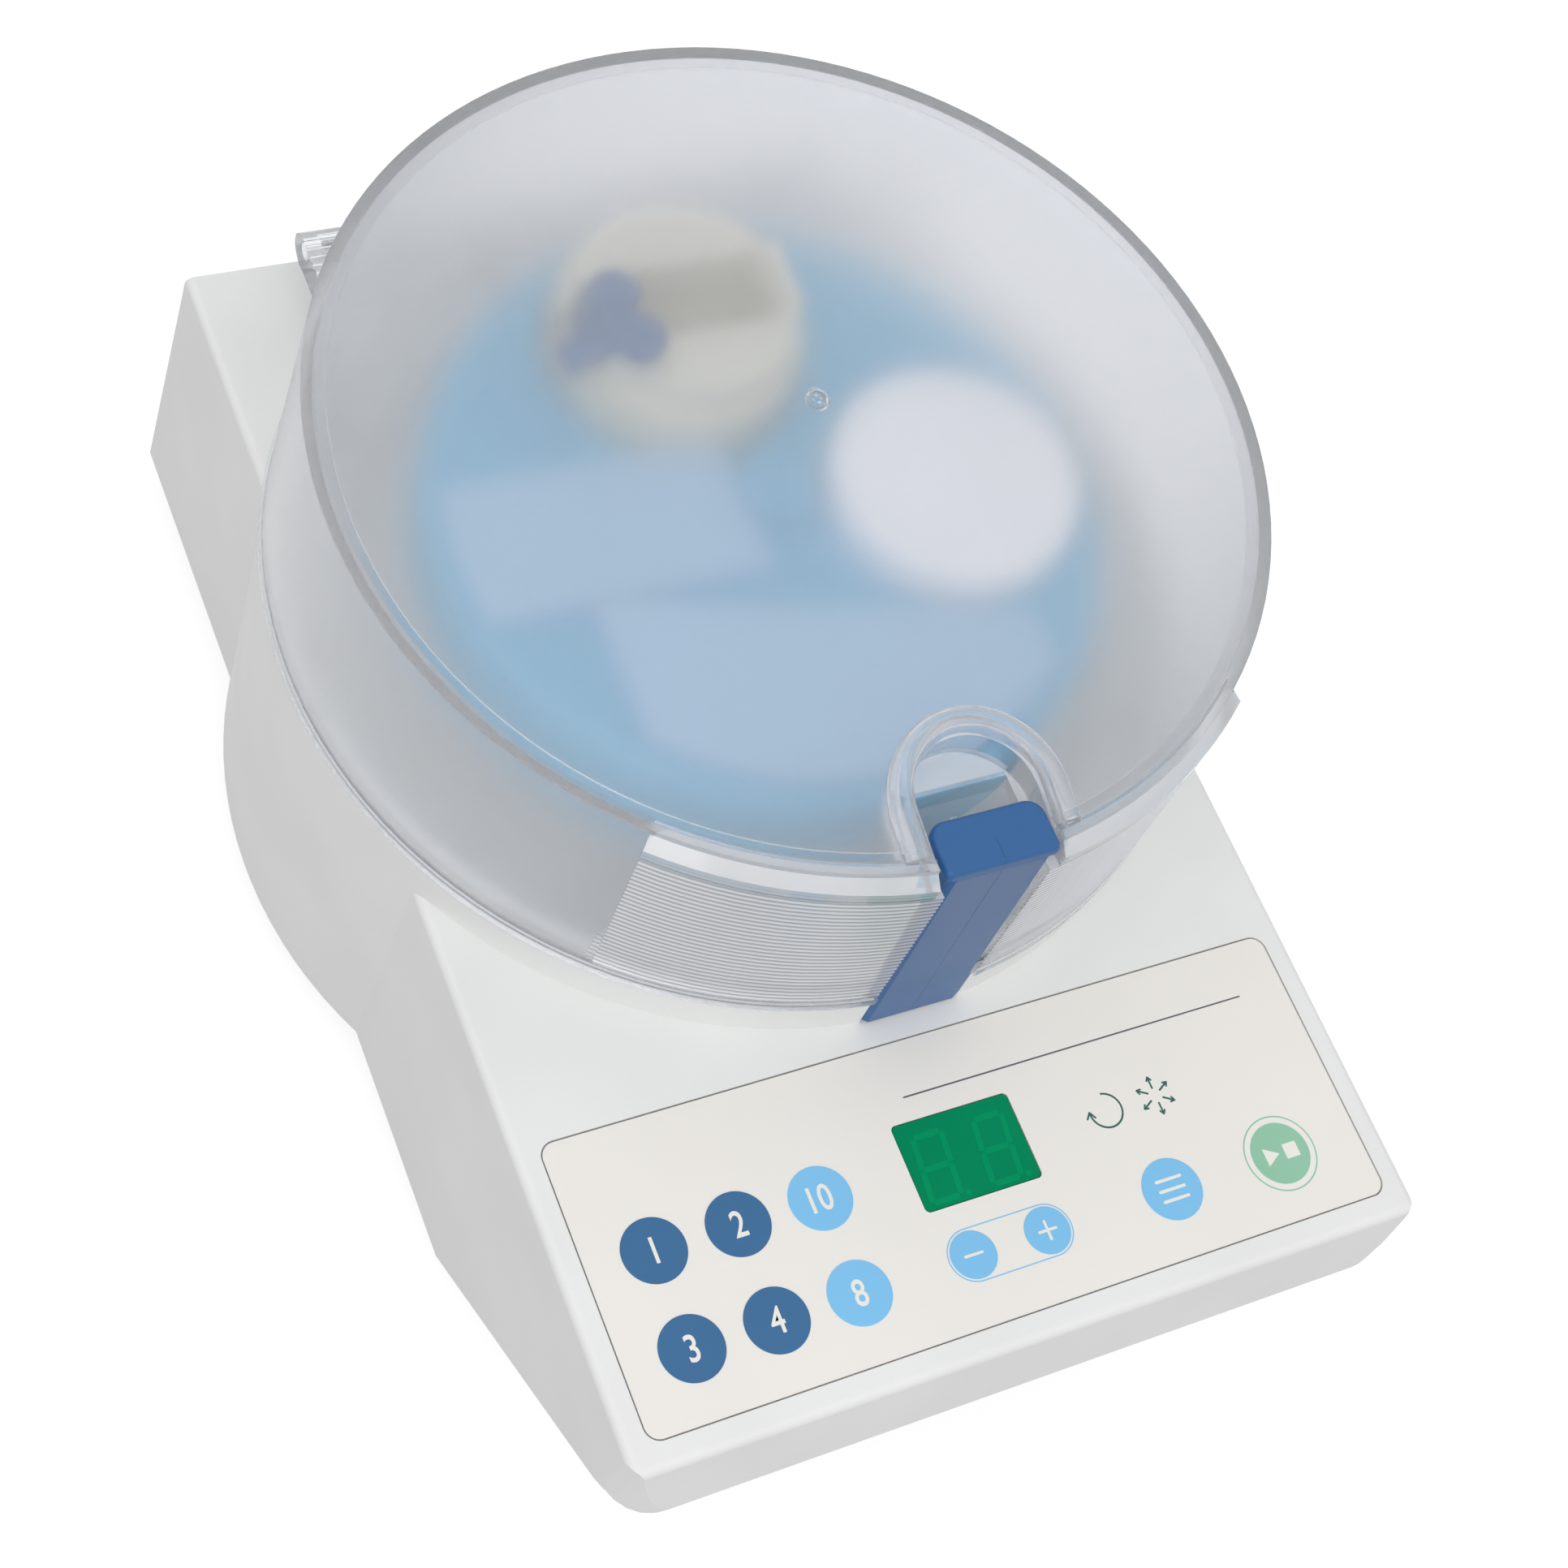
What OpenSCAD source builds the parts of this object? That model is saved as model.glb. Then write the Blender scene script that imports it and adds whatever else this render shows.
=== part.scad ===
// Bench-top rotary capsule mixer (dental amalgamator) in millimetres, front towards -Y, standing on its feet.
// The origin is the middle of the footprint at table level, and +Z points up.

/* [Housing] */
// Width of the deck between its two top edges
deck_w = 179; // [172:0.5:186]
// Width of the hood along its bottom edge
base_w = 183; // [180:0.5:190]
// Length of the deck from its front edge to its rear edge
deck_len = 281.4; // [274:0.1:292]
// Height of the housing from its flat bottom to the deck
body_h = 73.4; // [68:0.1:84]
// How far the front lip leans out below the deck edge
front_lean = 3.5; // [1:0.1:6]
// How far the rear wall leans out at the bottom
rear_lean = 5.4; // [2:0.1:7]
// Height of the front lip
front_lip_h = 19.8; // [18:0.1:26]
// Length of the sloped underside, from the deck's front edge to the knee where the bottom turns flat
knee_back = 72.9; // [66:0.1:78]
// Thickness of the moulded walls
wall = 3; // [2.4:0.1:3.4]
// Radius of the two front corners, seen from above
front_corner_r = 11; // [6:0.5:14]
// Radius along the deck's moulded edges
edge_r = 2; // [1:0.1:3]
// Thickness of the base pan
pan_t = 2.5; // [2:0.1:3.5]

/* [Drum] */
// Radius of the drum at the bottom
drum_r = 102.8; // [101:0.1:106]
// Radius of the drum at the top of its collar
drum_top_r = 101.7; // [100.5:0.1:103]
// Distance from the deck's front edge back to the drum's axis
drum_back = 174.2; // [170:0.1:178]
// Height of the collar that stands above the deck
collar_h = 10.2; // [8:0.1:13]
// Radial thickness of the collar
collar_t = 6.5; // [5.5:0.1:7.5]
// Height of the locating lip above the collar
locating_lip_h = 3; // [2:0.1:4]

/* [Control panel] */
// Width of the printed front film
film_w = 168; // [160:0.5:172]
// Depth of the printed front film, front to back
film_d = 60.9; // [58:0.1:63]
// Distance from the deck's front edge to the film
film_margin = 6; // [5:0.1:6.8]
// Thickness of the printed film
film_t = 0.5; // [0.3:0.05:0.6]
// Thickness of the keypad membrane under the film
membrane_t = 0.8; // [0.5:0.05:0.9]
// Width of the display window
window_w = 26.6; // [24:0.1:30]
// Depth of the display window, front to back
window_d = 18.7; // [17:0.1:21]
// Thickness of the display window
window_t = 1.6; // [1:0.1:2]
// Diameter of a programme key
key_d = 13.4; // [12:0.1:15]

/* [Lid] */
// Height of the lid from the collar to the rim
lid_h = 54.7; // [50:0.1:62]
// Rise of the domed top above the rim
dome_rise = 10.3; // [6:0.1:13]
// Outer radius of the lid at its base
lid_base_r = 102.2; // [101.8:0.1:103]
// Outer radius of the lid at its rim
lid_rim_r = 99.6; // [99:0.1:101]
// Width of the flat rim around the dome
rim_flat = 2.7; // [1.5:0.1:4]
// Thickness of the lid's wall
lid_wall = 2.5; // [2:0.1:3]
// Half of the angle that the ribbed grip covers
grip_half_angle = 39.5; // [30:0.5:44]
// Outer radius of the grip
grip_r = 102.3; // [102:0.1:103]
// Pitch of the grip's ribs
grip_pitch = 1.5; // [1.4:0.1:3]
// Largest angle the lid opens to
lid_open = 80; // [60:1:82]

/* [Hinge] */
// Width of the ribbed hinge block
hinge_w = 128; // [110:1:132]
// Diameter of the hinge pin
hinge_pin_d = 4; // [3:0.1:4.5]
// Radius of the hinge barrel
barrel_r = 4.3; // [4:0.1:4.6]
// Height of the pin's axis above the deck
hinge_up = 5; // [4.9:0.1:6]
// Distance of the pin's axis in front of the deck's rear edge
hinge_in = 1.5; // [0.5:0.1:2.5]
// Width of a hinge bracket's knuckle
knuckle_w = 10; // [7:0.5:12]
// Distance of each knuckle from the middle
knuckle_x = 35; // [28:0.5:42]

/* [Latch] */
// Width of the latch bar
latch_w = 22; // [18:0.1:24]
// Thickness of the latch bar
latch_t = 5.5; // [4.5:0.1:6]
// Width of the latch cap
cap_w = 24.6; // [24.4:0.1:26]
// Depth of the latch cap, front to back
cap_d = 10.4; // [9:0.1:11.5]
// Thickness of the latch cap
cap_t = 3.9; // [3:0.1:4.4]
// Height of the latch cap's top above the deck
cap_top = 62.5; // [61.5:0.1:63.5]
// Height of the latch pin above the deck
latch_pin_up = 30; // [26:0.5:36]
// Diameter of the latch pin
latch_pin_d = 3; // [2.4:0.1:3.4]
// Width of the finger recess behind the cap
recess_w = 27; // [26.6:0.1:30]
// Depth of the finger recess below the rim
recess_deep = 7; // [6.8:0.1:8]

/* [Rotor] */
// Radius of the rotor cover
rotor_r = 73; // [68:0.5:75]
// Height of the rotor cover's top above the deck
rotor_top = 39; // [37:0.1:41]
// Height of the rotor cover's skirt
rotor_skirt = 21; // [19:0.5:22]
// Thickness of the rotor cover
rotor_wall = 2.5; // [2:0.1:3]
// Diameter of the motor shaft
shaft_d = 10; // [8:0.5:11]
// Distance from the rotor's axis to the capsule holder's axis
holder_reach = 41.2; // [40:0.1:43]
// Angle of the capsule holder round the rotor
holder_angle = 100.5; // [90:0.5:110]
// Radius of the capsule holder
holder_r = 26.5; // [25.5:0.1:27.5]
// Height of the capsule holder's top above the deck
holder_top = 56; // [54:0.5:58]
// Radius of the round counterweight cap
weight_r = 27; // [22:0.5:28]
// Distance from the rotor's axis to the counterweight cap
weight_reach = 38; // [36:0.1:40]
// Angle of the counterweight cap round the rotor
weight_angle = -11; // [-20:0.5:-4]
// Height of the counterweight cap's top above the deck
weight_top = 48; // [45:0.5:52]
// Diameter of the capsule that the holder takes
capsule_d = 15; // [13:0.5:16]
// Length of the capsule that the holder takes
capsule_l = 32; // [28:0.5:33]

/* [Planet drive] */
// Radius of the fixed sun pulley
sun_r = 20; // [19:0.1:22]
// Radius of the planet pulley
planet_r = 15; // [12:0.1:16]
// Width of the two pulleys' belt tracks
belt_w = 6; // [5:0.1:7]
// Thickness of the belt
belt_t = 2; // [1.5:0.1:2.5]

/* [Supply] */
// Height of the rubber feet
foot_h = 7; // [5:0.5:9]
// Radius of the rubber feet
foot_r = 9; // [7:0.5:11]
// Width of the power inlet's opening
inlet_w = 24; // [23:0.1:25]
// Height of the power inlet's opening
inlet_h = 16; // [15:0.1:17]

/* [Clearances] */
// Radial clearance of a turning pin or shaft
running = 0.05; // [0.02:0.01:0.09]
// Gap between parts that are put together
fit = 0.3; // [0.2:0.05:0.5]
// Gap round the latch bar and its cap
latch_gap = 0.4; // [0.3:0.05:0.6]

/* [Hidden] */
$fn = 96;
eps = 0.01;
far = 400;

// Levels and places that follow from the sizes above
total_len = deck_len + front_lean + rear_lean;
deck_z = foot_h + body_h;
front_y = -total_len / 2 + front_lean;
rear_y = front_y + deck_len;
knee_y = front_y + knee_back;
lip_back = 4.3;
under_slope = (body_h - front_lip_h) / (knee_back - lip_back);
drum_y = front_y + drum_back;
collar_z = deck_z + collar_h;
collar_in_r = drum_top_r - collar_t;
lip_t = 2.6;
lid_z = collar_z + fit;
rim_z = collar_z + lid_h;
dome_r = lid_rim_r - rim_flat;
sphere_r = (dome_r * dome_r + dome_rise * dome_rise) / (2 * dome_rise);
hinge_y = rear_y - hinge_in;
hinge_z = deck_z + hinge_up;
under_deck = deck_z - wall;

// Places on the control panel, measured from the middle of the panel's rear edge
film_front = front_y + film_margin;
film_rear = film_front + film_d;
key_x = [-69.8, -51.9, -34];
key_y = [-26.4, -46.6];
small_key_d = 10;
small_key_x = [-8.8, 8.4];
mode_key_x = 38;
start_key_x = 65;
lower_key_y = -46.5;
window_x = -0.8;
window_y = film_rear - 26.3;
film_gap = 0.35;
panel_deep = film_t + membrane_t + 0.1;
tail_w = 22;
tail_y = film_rear - 4;

// Latch and finger recess
latch_front = drum_y - drum_top_r + 1.35;
latch_back = latch_front + latch_t;
latch_pin_y = latch_back + 0.8;
latch_pin_z = deck_z + latch_pin_up;
cap_front = latch_front + 1;
cap_back = cap_front + cap_d;
cap_z = deck_z + cap_top - cap_t;
recess_z = rim_z - recess_deep;
recess_r = recess_w / 2;
recess_y = cap_back + 2.6;
floor_t = 2.4;
slot_w = latch_w + 2 * latch_gap;
latch_box_back = latch_back + 13;
latch_box_wall = 2;
tongue_w = 10;
tongue_t = 5;
tongue_low = deck_z - 14;
bolt_r = 1.5;
bolt_z = deck_z - 10;
bolt_y = latch_front + 1 + tongue_t / 2;
bolt_back = 0.6;
bolt_l = 20.4;

// Rotor levels
shaft_r = shaft_d / 2;
motor_top = deck_z - 18.4;
motor_r = 34;
motor_h = 40;
plate_t = 3;
pulley_low = deck_z + 9.6;
flange_t = 1;
pulley_h = belt_w + 2 * flange_t + 0.6;
carrier_low = pulley_low + pulley_h + 1.4;
carrier_t = 4;
carrier_r = rotor_r - rotor_wall - 3.5;
cover_top = deck_z + rotor_top;
cover_low = cover_top - rotor_skirt;
post_r = 11;
boss_r = 8;
holder_pos = [holder_reach * cos(holder_angle), drum_y + holder_reach * sin(holder_angle)];
weight_pos = [weight_reach * cos(weight_angle), drum_y + weight_reach * sin(weight_angle)];
planet_shaft_r = 4;
holder_low = carrier_low + carrier_t + 1.2;
holder_high = deck_z + holder_top;
seat_z = holder_high - 10;
seat_x = holder_r - 8.5;
clamp_x = -18.5;
clamp_z = holder_high - 11;
clamp_pin_r = 1.5;

// Rear panel
recess_deep_rear = 8;
inlet_pos = [-38, 0, foot_h + 30];
switch_pos = [8, 0, foot_h + 30];
panel_y = hood_rear(inlet_pos[2]) - recess_deep_rear;
panel_t = 2.5;
rocker_in = 1;
rocker_pin_r = 1;

// Circuit boards
board_t = 1.6;

// Fastener sizes
screw_r = 1.5;
head_r = 3;
head_h = 2;
base_screw_pos = [
  for (sx = [-1, 1]) for (y = [knee_y + 26, rear_y - 12]) [sx * (base_w / 2 - wall - 8), y],
];
foot_stem_r = 2.9;
foot_pos = [for (sx = [-1, 1]) for (y = [knee_y + 16, rear_y - 14]) [sx * 68, y]];
board_screw_pos = [for (x = [-76, -30, 30, 76]) for (y = [film_front + 6, film_rear - 8]) [x, y]];
isolator_reach = 50;
isolator_h = 12;
isolator_r = 8;

// Rear wall's outer face at a given height
function hood_rear(z) = rear_y + rear_lean * (deck_z - z) / body_h;
// Half width of the hood's outer face at a given height
function hood_half(z) = deck_w / 2 + (base_w - deck_w) / 2 * (deck_z - z) / body_h;
// Points of an arc
function arc(c, r, a0, a1, n = 6) = [for (i = [0:n]) c + r * [cos(a0 + (a1 - a0) * i / n), sin(a0 + (a1 - a0) * i / n)]];
// Key centres, in the part's own frame
function keys() = concat(
  [for (x = key_x) for (y = key_y) [x, film_rear + y, key_d]],
  [for (x = small_key_x) [x, film_rear + lower_key_y, small_key_d]],
  [[mode_key_x, film_rear + lower_key_y, key_d], [start_key_x, film_rear + lower_key_y, key_d]]
);

// General shapes
module at_drum(z = 0) {
  translate([0, drum_y, z]) children();
}

module ring(r_out, r_in, h) {
  difference() {
    cylinder(r = r_out, h = h);
    translate([0, 0, -1]) cylinder(r = r_in, h = h + 2);
  }
}

module block(x0, x1, y0, y1, z0, z1) {
  translate([x0, y0, z0]) cube([x1 - x0, y1 - y0, z1 - z0]);
}

module along_x(x0, x1, y, z, r) {
  translate([x0, y, z]) rotate([0, 90, 0]) cylinder(r = r, h = x1 - x0);
}

module along_y(x, y0, y1, z, r) {
  translate([x, y0, z]) rotate([-90, 0, 0]) cylinder(r = r, h = y1 - y0);
}

// Extrudes an outline drawn in the YZ plane over a range of X
module extrude_x(x0, x1) {
  translate([x0, 0, 0]) rotate([90, 0, 90]) linear_extrude(height = x1 - x0) children();
}

// Extrudes an outline drawn in the XZ plane over a range of Y
module extrude_y(y0, y1) {
  translate([0, y1, 0]) rotate([90, 0, 0]) linear_extrude(height = y1 - y0) children();
}

module screw(head = head_r, shank = screw_r, l = 8) {
  cylinder(r = head, h = head_h);
  translate([0, 0, head_h - eps]) cylinder(r = shank, h = l);
}

// Front view of the hood: leaning sides with rounded top edges
module hood_front(inset, top) {
  low = deck_z - body_h - far / 8;
  w_top = hood_half(deck_z) - inset;
  w_low = hood_half(low) - inset;
  r = max(edge_r - inset, 0.4);
  polygon(concat(
    [[-w_low, low], [w_low, low]],
    arc([w_top - r, top - r], r, 0, 90),
    arc([-w_top + r, top - r], r, 90, 180)
  ));
}

// Side view of the hood: deck, leaning rear wall, front lip and sloped underside
module hood_side(inset, top) {
  r = max(edge_r - inset, 0.4);
  low = inset > 0 ? 0 : foot_h;
  rear_low = hood_rear(low) - inset;
  front = front_y + inset;
  lip_z = deck_z - front_lip_h;
  polygon(concat(
    [[rear_low, low], [hood_rear(top) - inset, top]],
    arc([front + r, top - r], r, 90, 180),
    inset > 0
      ? [[front - front_lean, lip_z - 4], [front - front_lean, low]]
      : concat(
        arc([front - front_lean + edge_r, lip_z + edge_r], edge_r, 180, 270),
        [[front_y + lip_back, lip_z], [knee_y, foot_h]]
      )
  ));
}

// Plan of the hood, widest at the bottom
module hood_plan(inset) {
  w = hood_half(deck_z - front_lip_h) - inset;
  w_rear = base_w / 2 + 1 - inset;
  r = max(front_corner_r - inset, 1);
  front = front_y - front_lean + inset;
  polygon(concat(
    [[w_rear, rear_y + rear_lean + 1], [-w_rear, rear_y + rear_lean + 1], [-w_rear, knee_y]],
    arc([-w + r, front + r], r, 180, 270),
    arc([w - r, front + r], r, 270, 360),
    [[w_rear, knee_y]]
  ));
}

module hood_form(inset, top) {
  intersection() {
    extrude_y(-far / 2, far / 2) hood_front(inset, top);
    extrude_x(-far / 2, far / 2) hood_side(inset, top);
    linear_extrude(height = far) hood_plan(inset);
  }
}

module drum_form(inset, z0, z1) {
  slope = (drum_r - drum_top_r) / (collar_z - foot_h);
  at_drum(z0) cylinder(
    r1 = drum_r - slope * (z0 - foot_h) - inset,
    r2 = drum_r - slope * (z1 - foot_h) - inset,
    h = z1 - z0
  );
}

// Space that the hood and the drum enclose, shrunk by an inset
module inner_space(inset) {
  union() {
    hood_form(inset, deck_z - wall);
    drum_form(inset, foot_h - 1, deck_z - wall);
  }
}

// Housing: hood, drum, collar, deck and rear panel pocket in one moulding
module housing_shell() {
  color("whitesmoke") difference() {
    union() {
      difference() {
        union() {
          hood_form(0, deck_z);
          drum_form(0, foot_h, collar_z);
          at_drum(deck_z) cylinder(r = collar_in_r + lip_t, h = collar_h + locating_lip_h);
        }
        inner_space(wall);
      }
      board_bosses();
      base_posts();
      rear_pocket(outer = true);
    }
    at_drum(deck_z - wall - 1) cylinder(r = collar_in_r - 7, h = far);
    at_drum(deck_z) cylinder(r = collar_in_r, h = far);
    gasket_groove();
    latch_notch();
    hinge_notch();
    panel_recess();
    rear_pocket(outer = false);
    base_screw_holes();
    tub_screw_holes();
  }
}

module gasket_groove() {
  at_drum(collar_z - 1.2) ring(collar_in_r + lip_t + 2.2, collar_in_r + lip_t + 0.4, far);
}

// Slot for the latch bar through the collar, and for its tongue through the deck
module latch_notch() {
  block(-slot_w / 2, slot_w / 2, latch_front - 4, latch_back + 5, deck_z, far);
  block(-latch_cheek() - 1, latch_cheek() + 1, latch_front - 4, latch_back + 5, collar_z, far);
  tongue_slot(deck_z - wall - 1, deck_z + 1);
}

// Slot that the tongue drops into, long enough for the lever to rock and for the lid to swing up
module tongue_slot(z0, z1) {
  block(-tongue_w / 2 - fit, tongue_w / 2 + fit, latch_front - 0.3, latch_back + 4.5, z0, z1);
}

// Gap in the rear of the collar where the hinge block leaves the lid
module hinge_notch() {
  half = hinge_w / 2 + 2;
  difference() {
    block(-half, half, drum_y + 60, far / 2, deck_z, far);
    at_drum(0) cylinder(r = collar_in_r + lip_t, h = far);
    block(-half, half, drum_y + 60, far / 2, 0, deck_z);
  }
  translate([0, 0, collar_z]) block(-half, half, drum_y + 60, far / 2, 0, far);
}

module rounded_plate(w, d, h, r) {
  linear_extrude(height = h) union() {
    translate([-w / 2 + r, -d / 2]) square([w - 2 * r, d]);
    translate([-w / 2, -d / 2 + r]) square([w, d - 2 * r]);
    for (sx = [-1, 1]) for (sy = [-1, 1]) translate([sx * (w / 2 - r), sy * (d / 2 - r)]) circle(r = r);
  }
}

module at_panel(z) {
  translate([0, (film_front + film_rear) / 2, z]) children();
}

module panel_recess() {
  at_panel(deck_z - panel_deep) rounded_plate(film_w + 2 * film_gap, film_d + 2 * film_gap, far, 3 + film_gap);
  window_hole(0, far);
  tail_slot();
}

module window_hole(z, h) {
  gap = 0.2;
  translate([window_x, window_y, z]) rounded_plate(window_w + 2 * gap, window_d + 2 * gap, h, 1.2);
}

// Slot in the deck for the membrane's flat tail
module tail_slot() {
  block(-tail_w / 2 - 1, tail_w / 2 + 1, tail_y - 1, tail_y + 1, under_deck - 1, deck_z + 1);
}

module board_bosses() {
  z0 = board_z() + board_t;
  for (p = board_screw_pos) translate([p[0], p[1], z0]) difference() {
    cylinder(r = 3.4, h = deck_z - panel_deep - z0 - 0.2);
    translate([0, 0, -1]) cylinder(r = screw_r, h = 6);
  }
}

function board_z() = deck_z - 11.4;

module base_posts() {
  for (p = base_screw_pos) translate([p[0], p[1], foot_h + pan_t]) cylinder(r = 4, h = body_h - pan_t - wall + eps);
}

module base_screw_holes() {
  for (p = base_screw_pos) translate([p[0], p[1], 0]) cylinder(r = screw_r, h = foot_h + pan_t + 12);
}

module tub_screw_spots() {
  for (a = [-70:35:250]) at_drum(deck_z) rotate([0, 0, a]) translate([collar_in_r - 3.4, 0, 0]) children();
}

module tub_screw_holes() {
  tub_screw_spots() translate([0, 0, -far / 8]) cylinder(r = screw_r, h = far / 4);
}

// Pocket in the rear wall with a flat panel for the supply parts
module rear_pocket(outer) {
  grow = outer ? panel_t : 0;
  x0 = inlet_pos[0] - 32;
  x1 = switch_pos[0] + 17;
  z0 = inlet_pos[2] - 20;
  z1 = inlet_pos[2] + 20;
  if (outer) {
    intersection() {
      difference() {
        block(x0 - grow, x1 + grow, panel_y - panel_t, far / 2, z0 - grow, z1 + grow);
        block(x0, x1, panel_y, far / 2, z0, z1);
      }
      hood_form(wall / 3, deck_z - wall / 3);
    }
  } else {
    block(x0, x1, panel_y, far / 2, z0, z1);
    inlet_cutout();
    switch_cutout();
  }
}

module inlet_cutout() {
  translate([inlet_pos[0], 0, inlet_pos[2]])
    block(-24.2, 24.2, panel_y - panel_t - 1, panel_y + 1, -14.2, 14.2);
}

module switch_cutout() {
  translate([switch_pos[0], 0, switch_pos[2]])
    block(-6.9, 6.9, panel_y - panel_t - 1, panel_y + 1, -11.2, 11.2);
}

// Base pan: flat bottom and sloped front in one bent plate
module base_pan() {
  color("gainsboro") difference() {
    union() {
      intersection() {
        extrude_x(-far / 2, far / 2) pan_profile();
        inner_space(wall + fit);
      }
      isolator_posts();
      board_pillars();
    }
    for (p = base_screw_pos) translate([p[0], p[1], 0]) {
      cylinder(r = screw_r + 0.2, h = far);
      cylinder(r = head_r + 0.3, h = foot_h + 1.1);
    }
    for (p = foot_pos) translate([p[0], p[1], 0]) cylinder(r = foot_stem_r + 0.1, h = far);
    base_vents();
  }
}

module pan_profile() {
  rise = pan_t * sqrt(1 + under_slope * under_slope);
  lip_y = front_y + lip_back;
  lip_z = deck_z - front_lip_h;
  polygon([
    [far / 2, foot_h], [far / 2, foot_h + pan_t],
    [knee_y + (rise - pan_t) / under_slope, foot_h + pan_t],
    [lip_y, lip_z + rise], [front_y, lip_z + rise], [front_y - front_lean, lip_z + rise],
    [front_y - front_lean, lip_z], [lip_y, lip_z], [knee_y, foot_h],
  ]);
}

module isolator_posts() {
  isolator_spots() translate([0, 0, foot_h + pan_t - eps]) cylinder(r = 6, h = motor_top - isolator_h - foot_h - pan_t + eps);
}

module isolator_spots() {
  for (a = [45:90:315]) at_drum() rotate([0, 0, a]) translate([isolator_reach, 0, 0]) children();
}

module board_pillars() {
  for (x = [-55, 55]) for (y = [knee_y + 12, knee_y + 46])
    translate([x, y, foot_h + pan_t - eps]) cylinder(r = 3.5, h = 4);
}

module base_vents() {
  for (x = [-30:6:30]) block(x - 1.5, x + 1.5, drum_y - 22, drum_y + 22, 0, foot_h + pan_t + 1);
}

module rubber_feet() {
  top = foot_h + pan_t;
  color("dimgray") for (p = foot_pos) translate([p[0], p[1], 0]) rotate_extrude() polygon([
    [0, 0], [foot_r - 0.8, 0], [foot_r, foot_h], [foot_stem_r, foot_h], [foot_stem_r, top],
    [foot_stem_r + 1.5, top], [foot_stem_r - 0.3, top + 2.4], [0, top + 2.4],
  ]);
}

module base_screws() {
  color("silver") for (p = base_screw_pos) translate([p[0], p[1], foot_h + 1.1 - head_h]) screw(l = 10);
}

// Printed film with its window
module control_film() {
  color("linen") difference() {
    at_panel(deck_z - 0.1 - film_t) rounded_plate(film_w, film_d, film_t, 3);
    window_hole(0, far);
  }
}

module keypad_membrane() {
  z = deck_z - panel_deep;
  color("lightgray") difference() {
    union() {
      at_panel(z) rounded_plate(film_w - 1, film_d - 1, membrane_t, 2.5);
      block(-tail_w / 2, tail_w / 2, tail_y - 0.6, tail_y + 0.6, board_z() + 2.2, z + eps);
    }
    window_hole(0, far);
    for (k = keys()) translate([k[0], k[1], 0]) cylinder(r = k[2] / 2 - 1, h = far);
  }
}

module snap_domes() {
  z = deck_z - panel_deep;
  color("silver") for (k = keys()) translate([k[0], k[1], z]) cylinder(r1 = k[2] / 2 - 1.1, r2 = 2, h = membrane_t);
}

module display_window() {
  color("green") translate([window_x, window_y, deck_z - 0.3 - window_t])
    rounded_plate(window_w, window_d, window_t, 1);
}

// Two-digit light-emitting display on the control board
module display_module() {
  z0 = board_z() + board_t;
  color("darkslategray") translate([window_x, window_y, z0])
    rounded_plate(window_w - 1.2, window_d - 1.2, deck_z - 0.3 - window_t - z0, 0.8);
}

module control_board() {
  color("seagreen") difference() {
    union() {
      block(-80, 80, film_front + 2, film_rear - 1.4, board_z(), board_z() + board_t);
      block(-tail_w / 2 - 2, tail_w / 2 + 2, tail_y - 3, tail_y + 2, board_z() + board_t - eps, board_z() + 6);
      block(46, 62, film_front + 14, film_front + 26, board_z() - 5, board_z() + eps);
      block(-40, -24, film_front + 20, film_front + 34, board_z() - 2.4, board_z() + eps);
    }
    block(-tail_w / 2 - 0.2, tail_w / 2 + 0.2, tail_y - 0.9, tail_y + 0.9, board_z() + 2, far);
    for (p = board_screw_pos) translate([p[0], p[1], 0]) cylinder(r = screw_r + 0.2, h = far);
  }
}

module board_screws() {
  color("silver") for (p = board_screw_pos) translate([p[0], p[1], board_z() - head_h]) screw(l = board_t + 5);
}

// Chamber tub: the washable floor under the rotor
module chamber_tub() {
  r_top = collar_in_r - 7.4;
  r_low = r_top - 3;
  z_floor = deck_z - 8;
  t = 2.2;
  color("whitesmoke") difference() {
    at_drum() rotate_extrude() polygon([
      [post_r + 1.5, deck_z + 3], [post_r + 1.5, z_floor - t], [r_low, z_floor - t], [r_top, deck_z],
      [collar_in_r - fit, deck_z], [collar_in_r - fit, deck_z + t], [r_top - t, deck_z + t],
      [r_low - t, z_floor], [32, z_floor], [post_r + 6, deck_z + 3],
    ]);
    block(-slot_w / 2 - 1, slot_w / 2 + 1, -far / 2, latch_back + 6, deck_z - 1, far);
    tub_screw_spots() translate([0, 0, -1]) cylinder(r = screw_r + 0.1, h = far);
  }
}

module tub_screws() {
  color("silver") tub_screw_spots() {
    translate([0, 0, 2.2]) cylinder(r = 2.6, h = 1.6);
    translate([0, 0, -wall]) cylinder(r = screw_r, h = wall + 2.2 + eps);
  }
}

module lid_gasket() {
  half = hinge_w / 2 + 2;
  r_in = collar_in_r + lip_t + 0.5;
  color("dimgray") difference() {
    at_drum(collar_z - 1.2) ring(r_in + 1.6, r_in, 1.4);
    block(-half, half, drum_y, far, 0, far);
    block(-slot_w / 2, slot_w / 2, -far, drum_y, 0, far);
  }
}

// Drive: motor, its plate and rubber mounts
module drive_motor() {
  color("slategray") difference() {
    at_drum() union() {
      translate([0, 0, motor_top - motor_h]) rotate_extrude() polygon([
        [0, 0], [motor_r - 2, 0], [motor_r, 2], [motor_r, motor_h - 5], [motor_r - 2, motor_h - 3],
        [20, motor_h - 3], [20, motor_h], [0, motor_h],
      ]);
    }
    at_drum(motor_top - 14) cylinder(r = shaft_r + running, h = far);
  }
}

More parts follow.
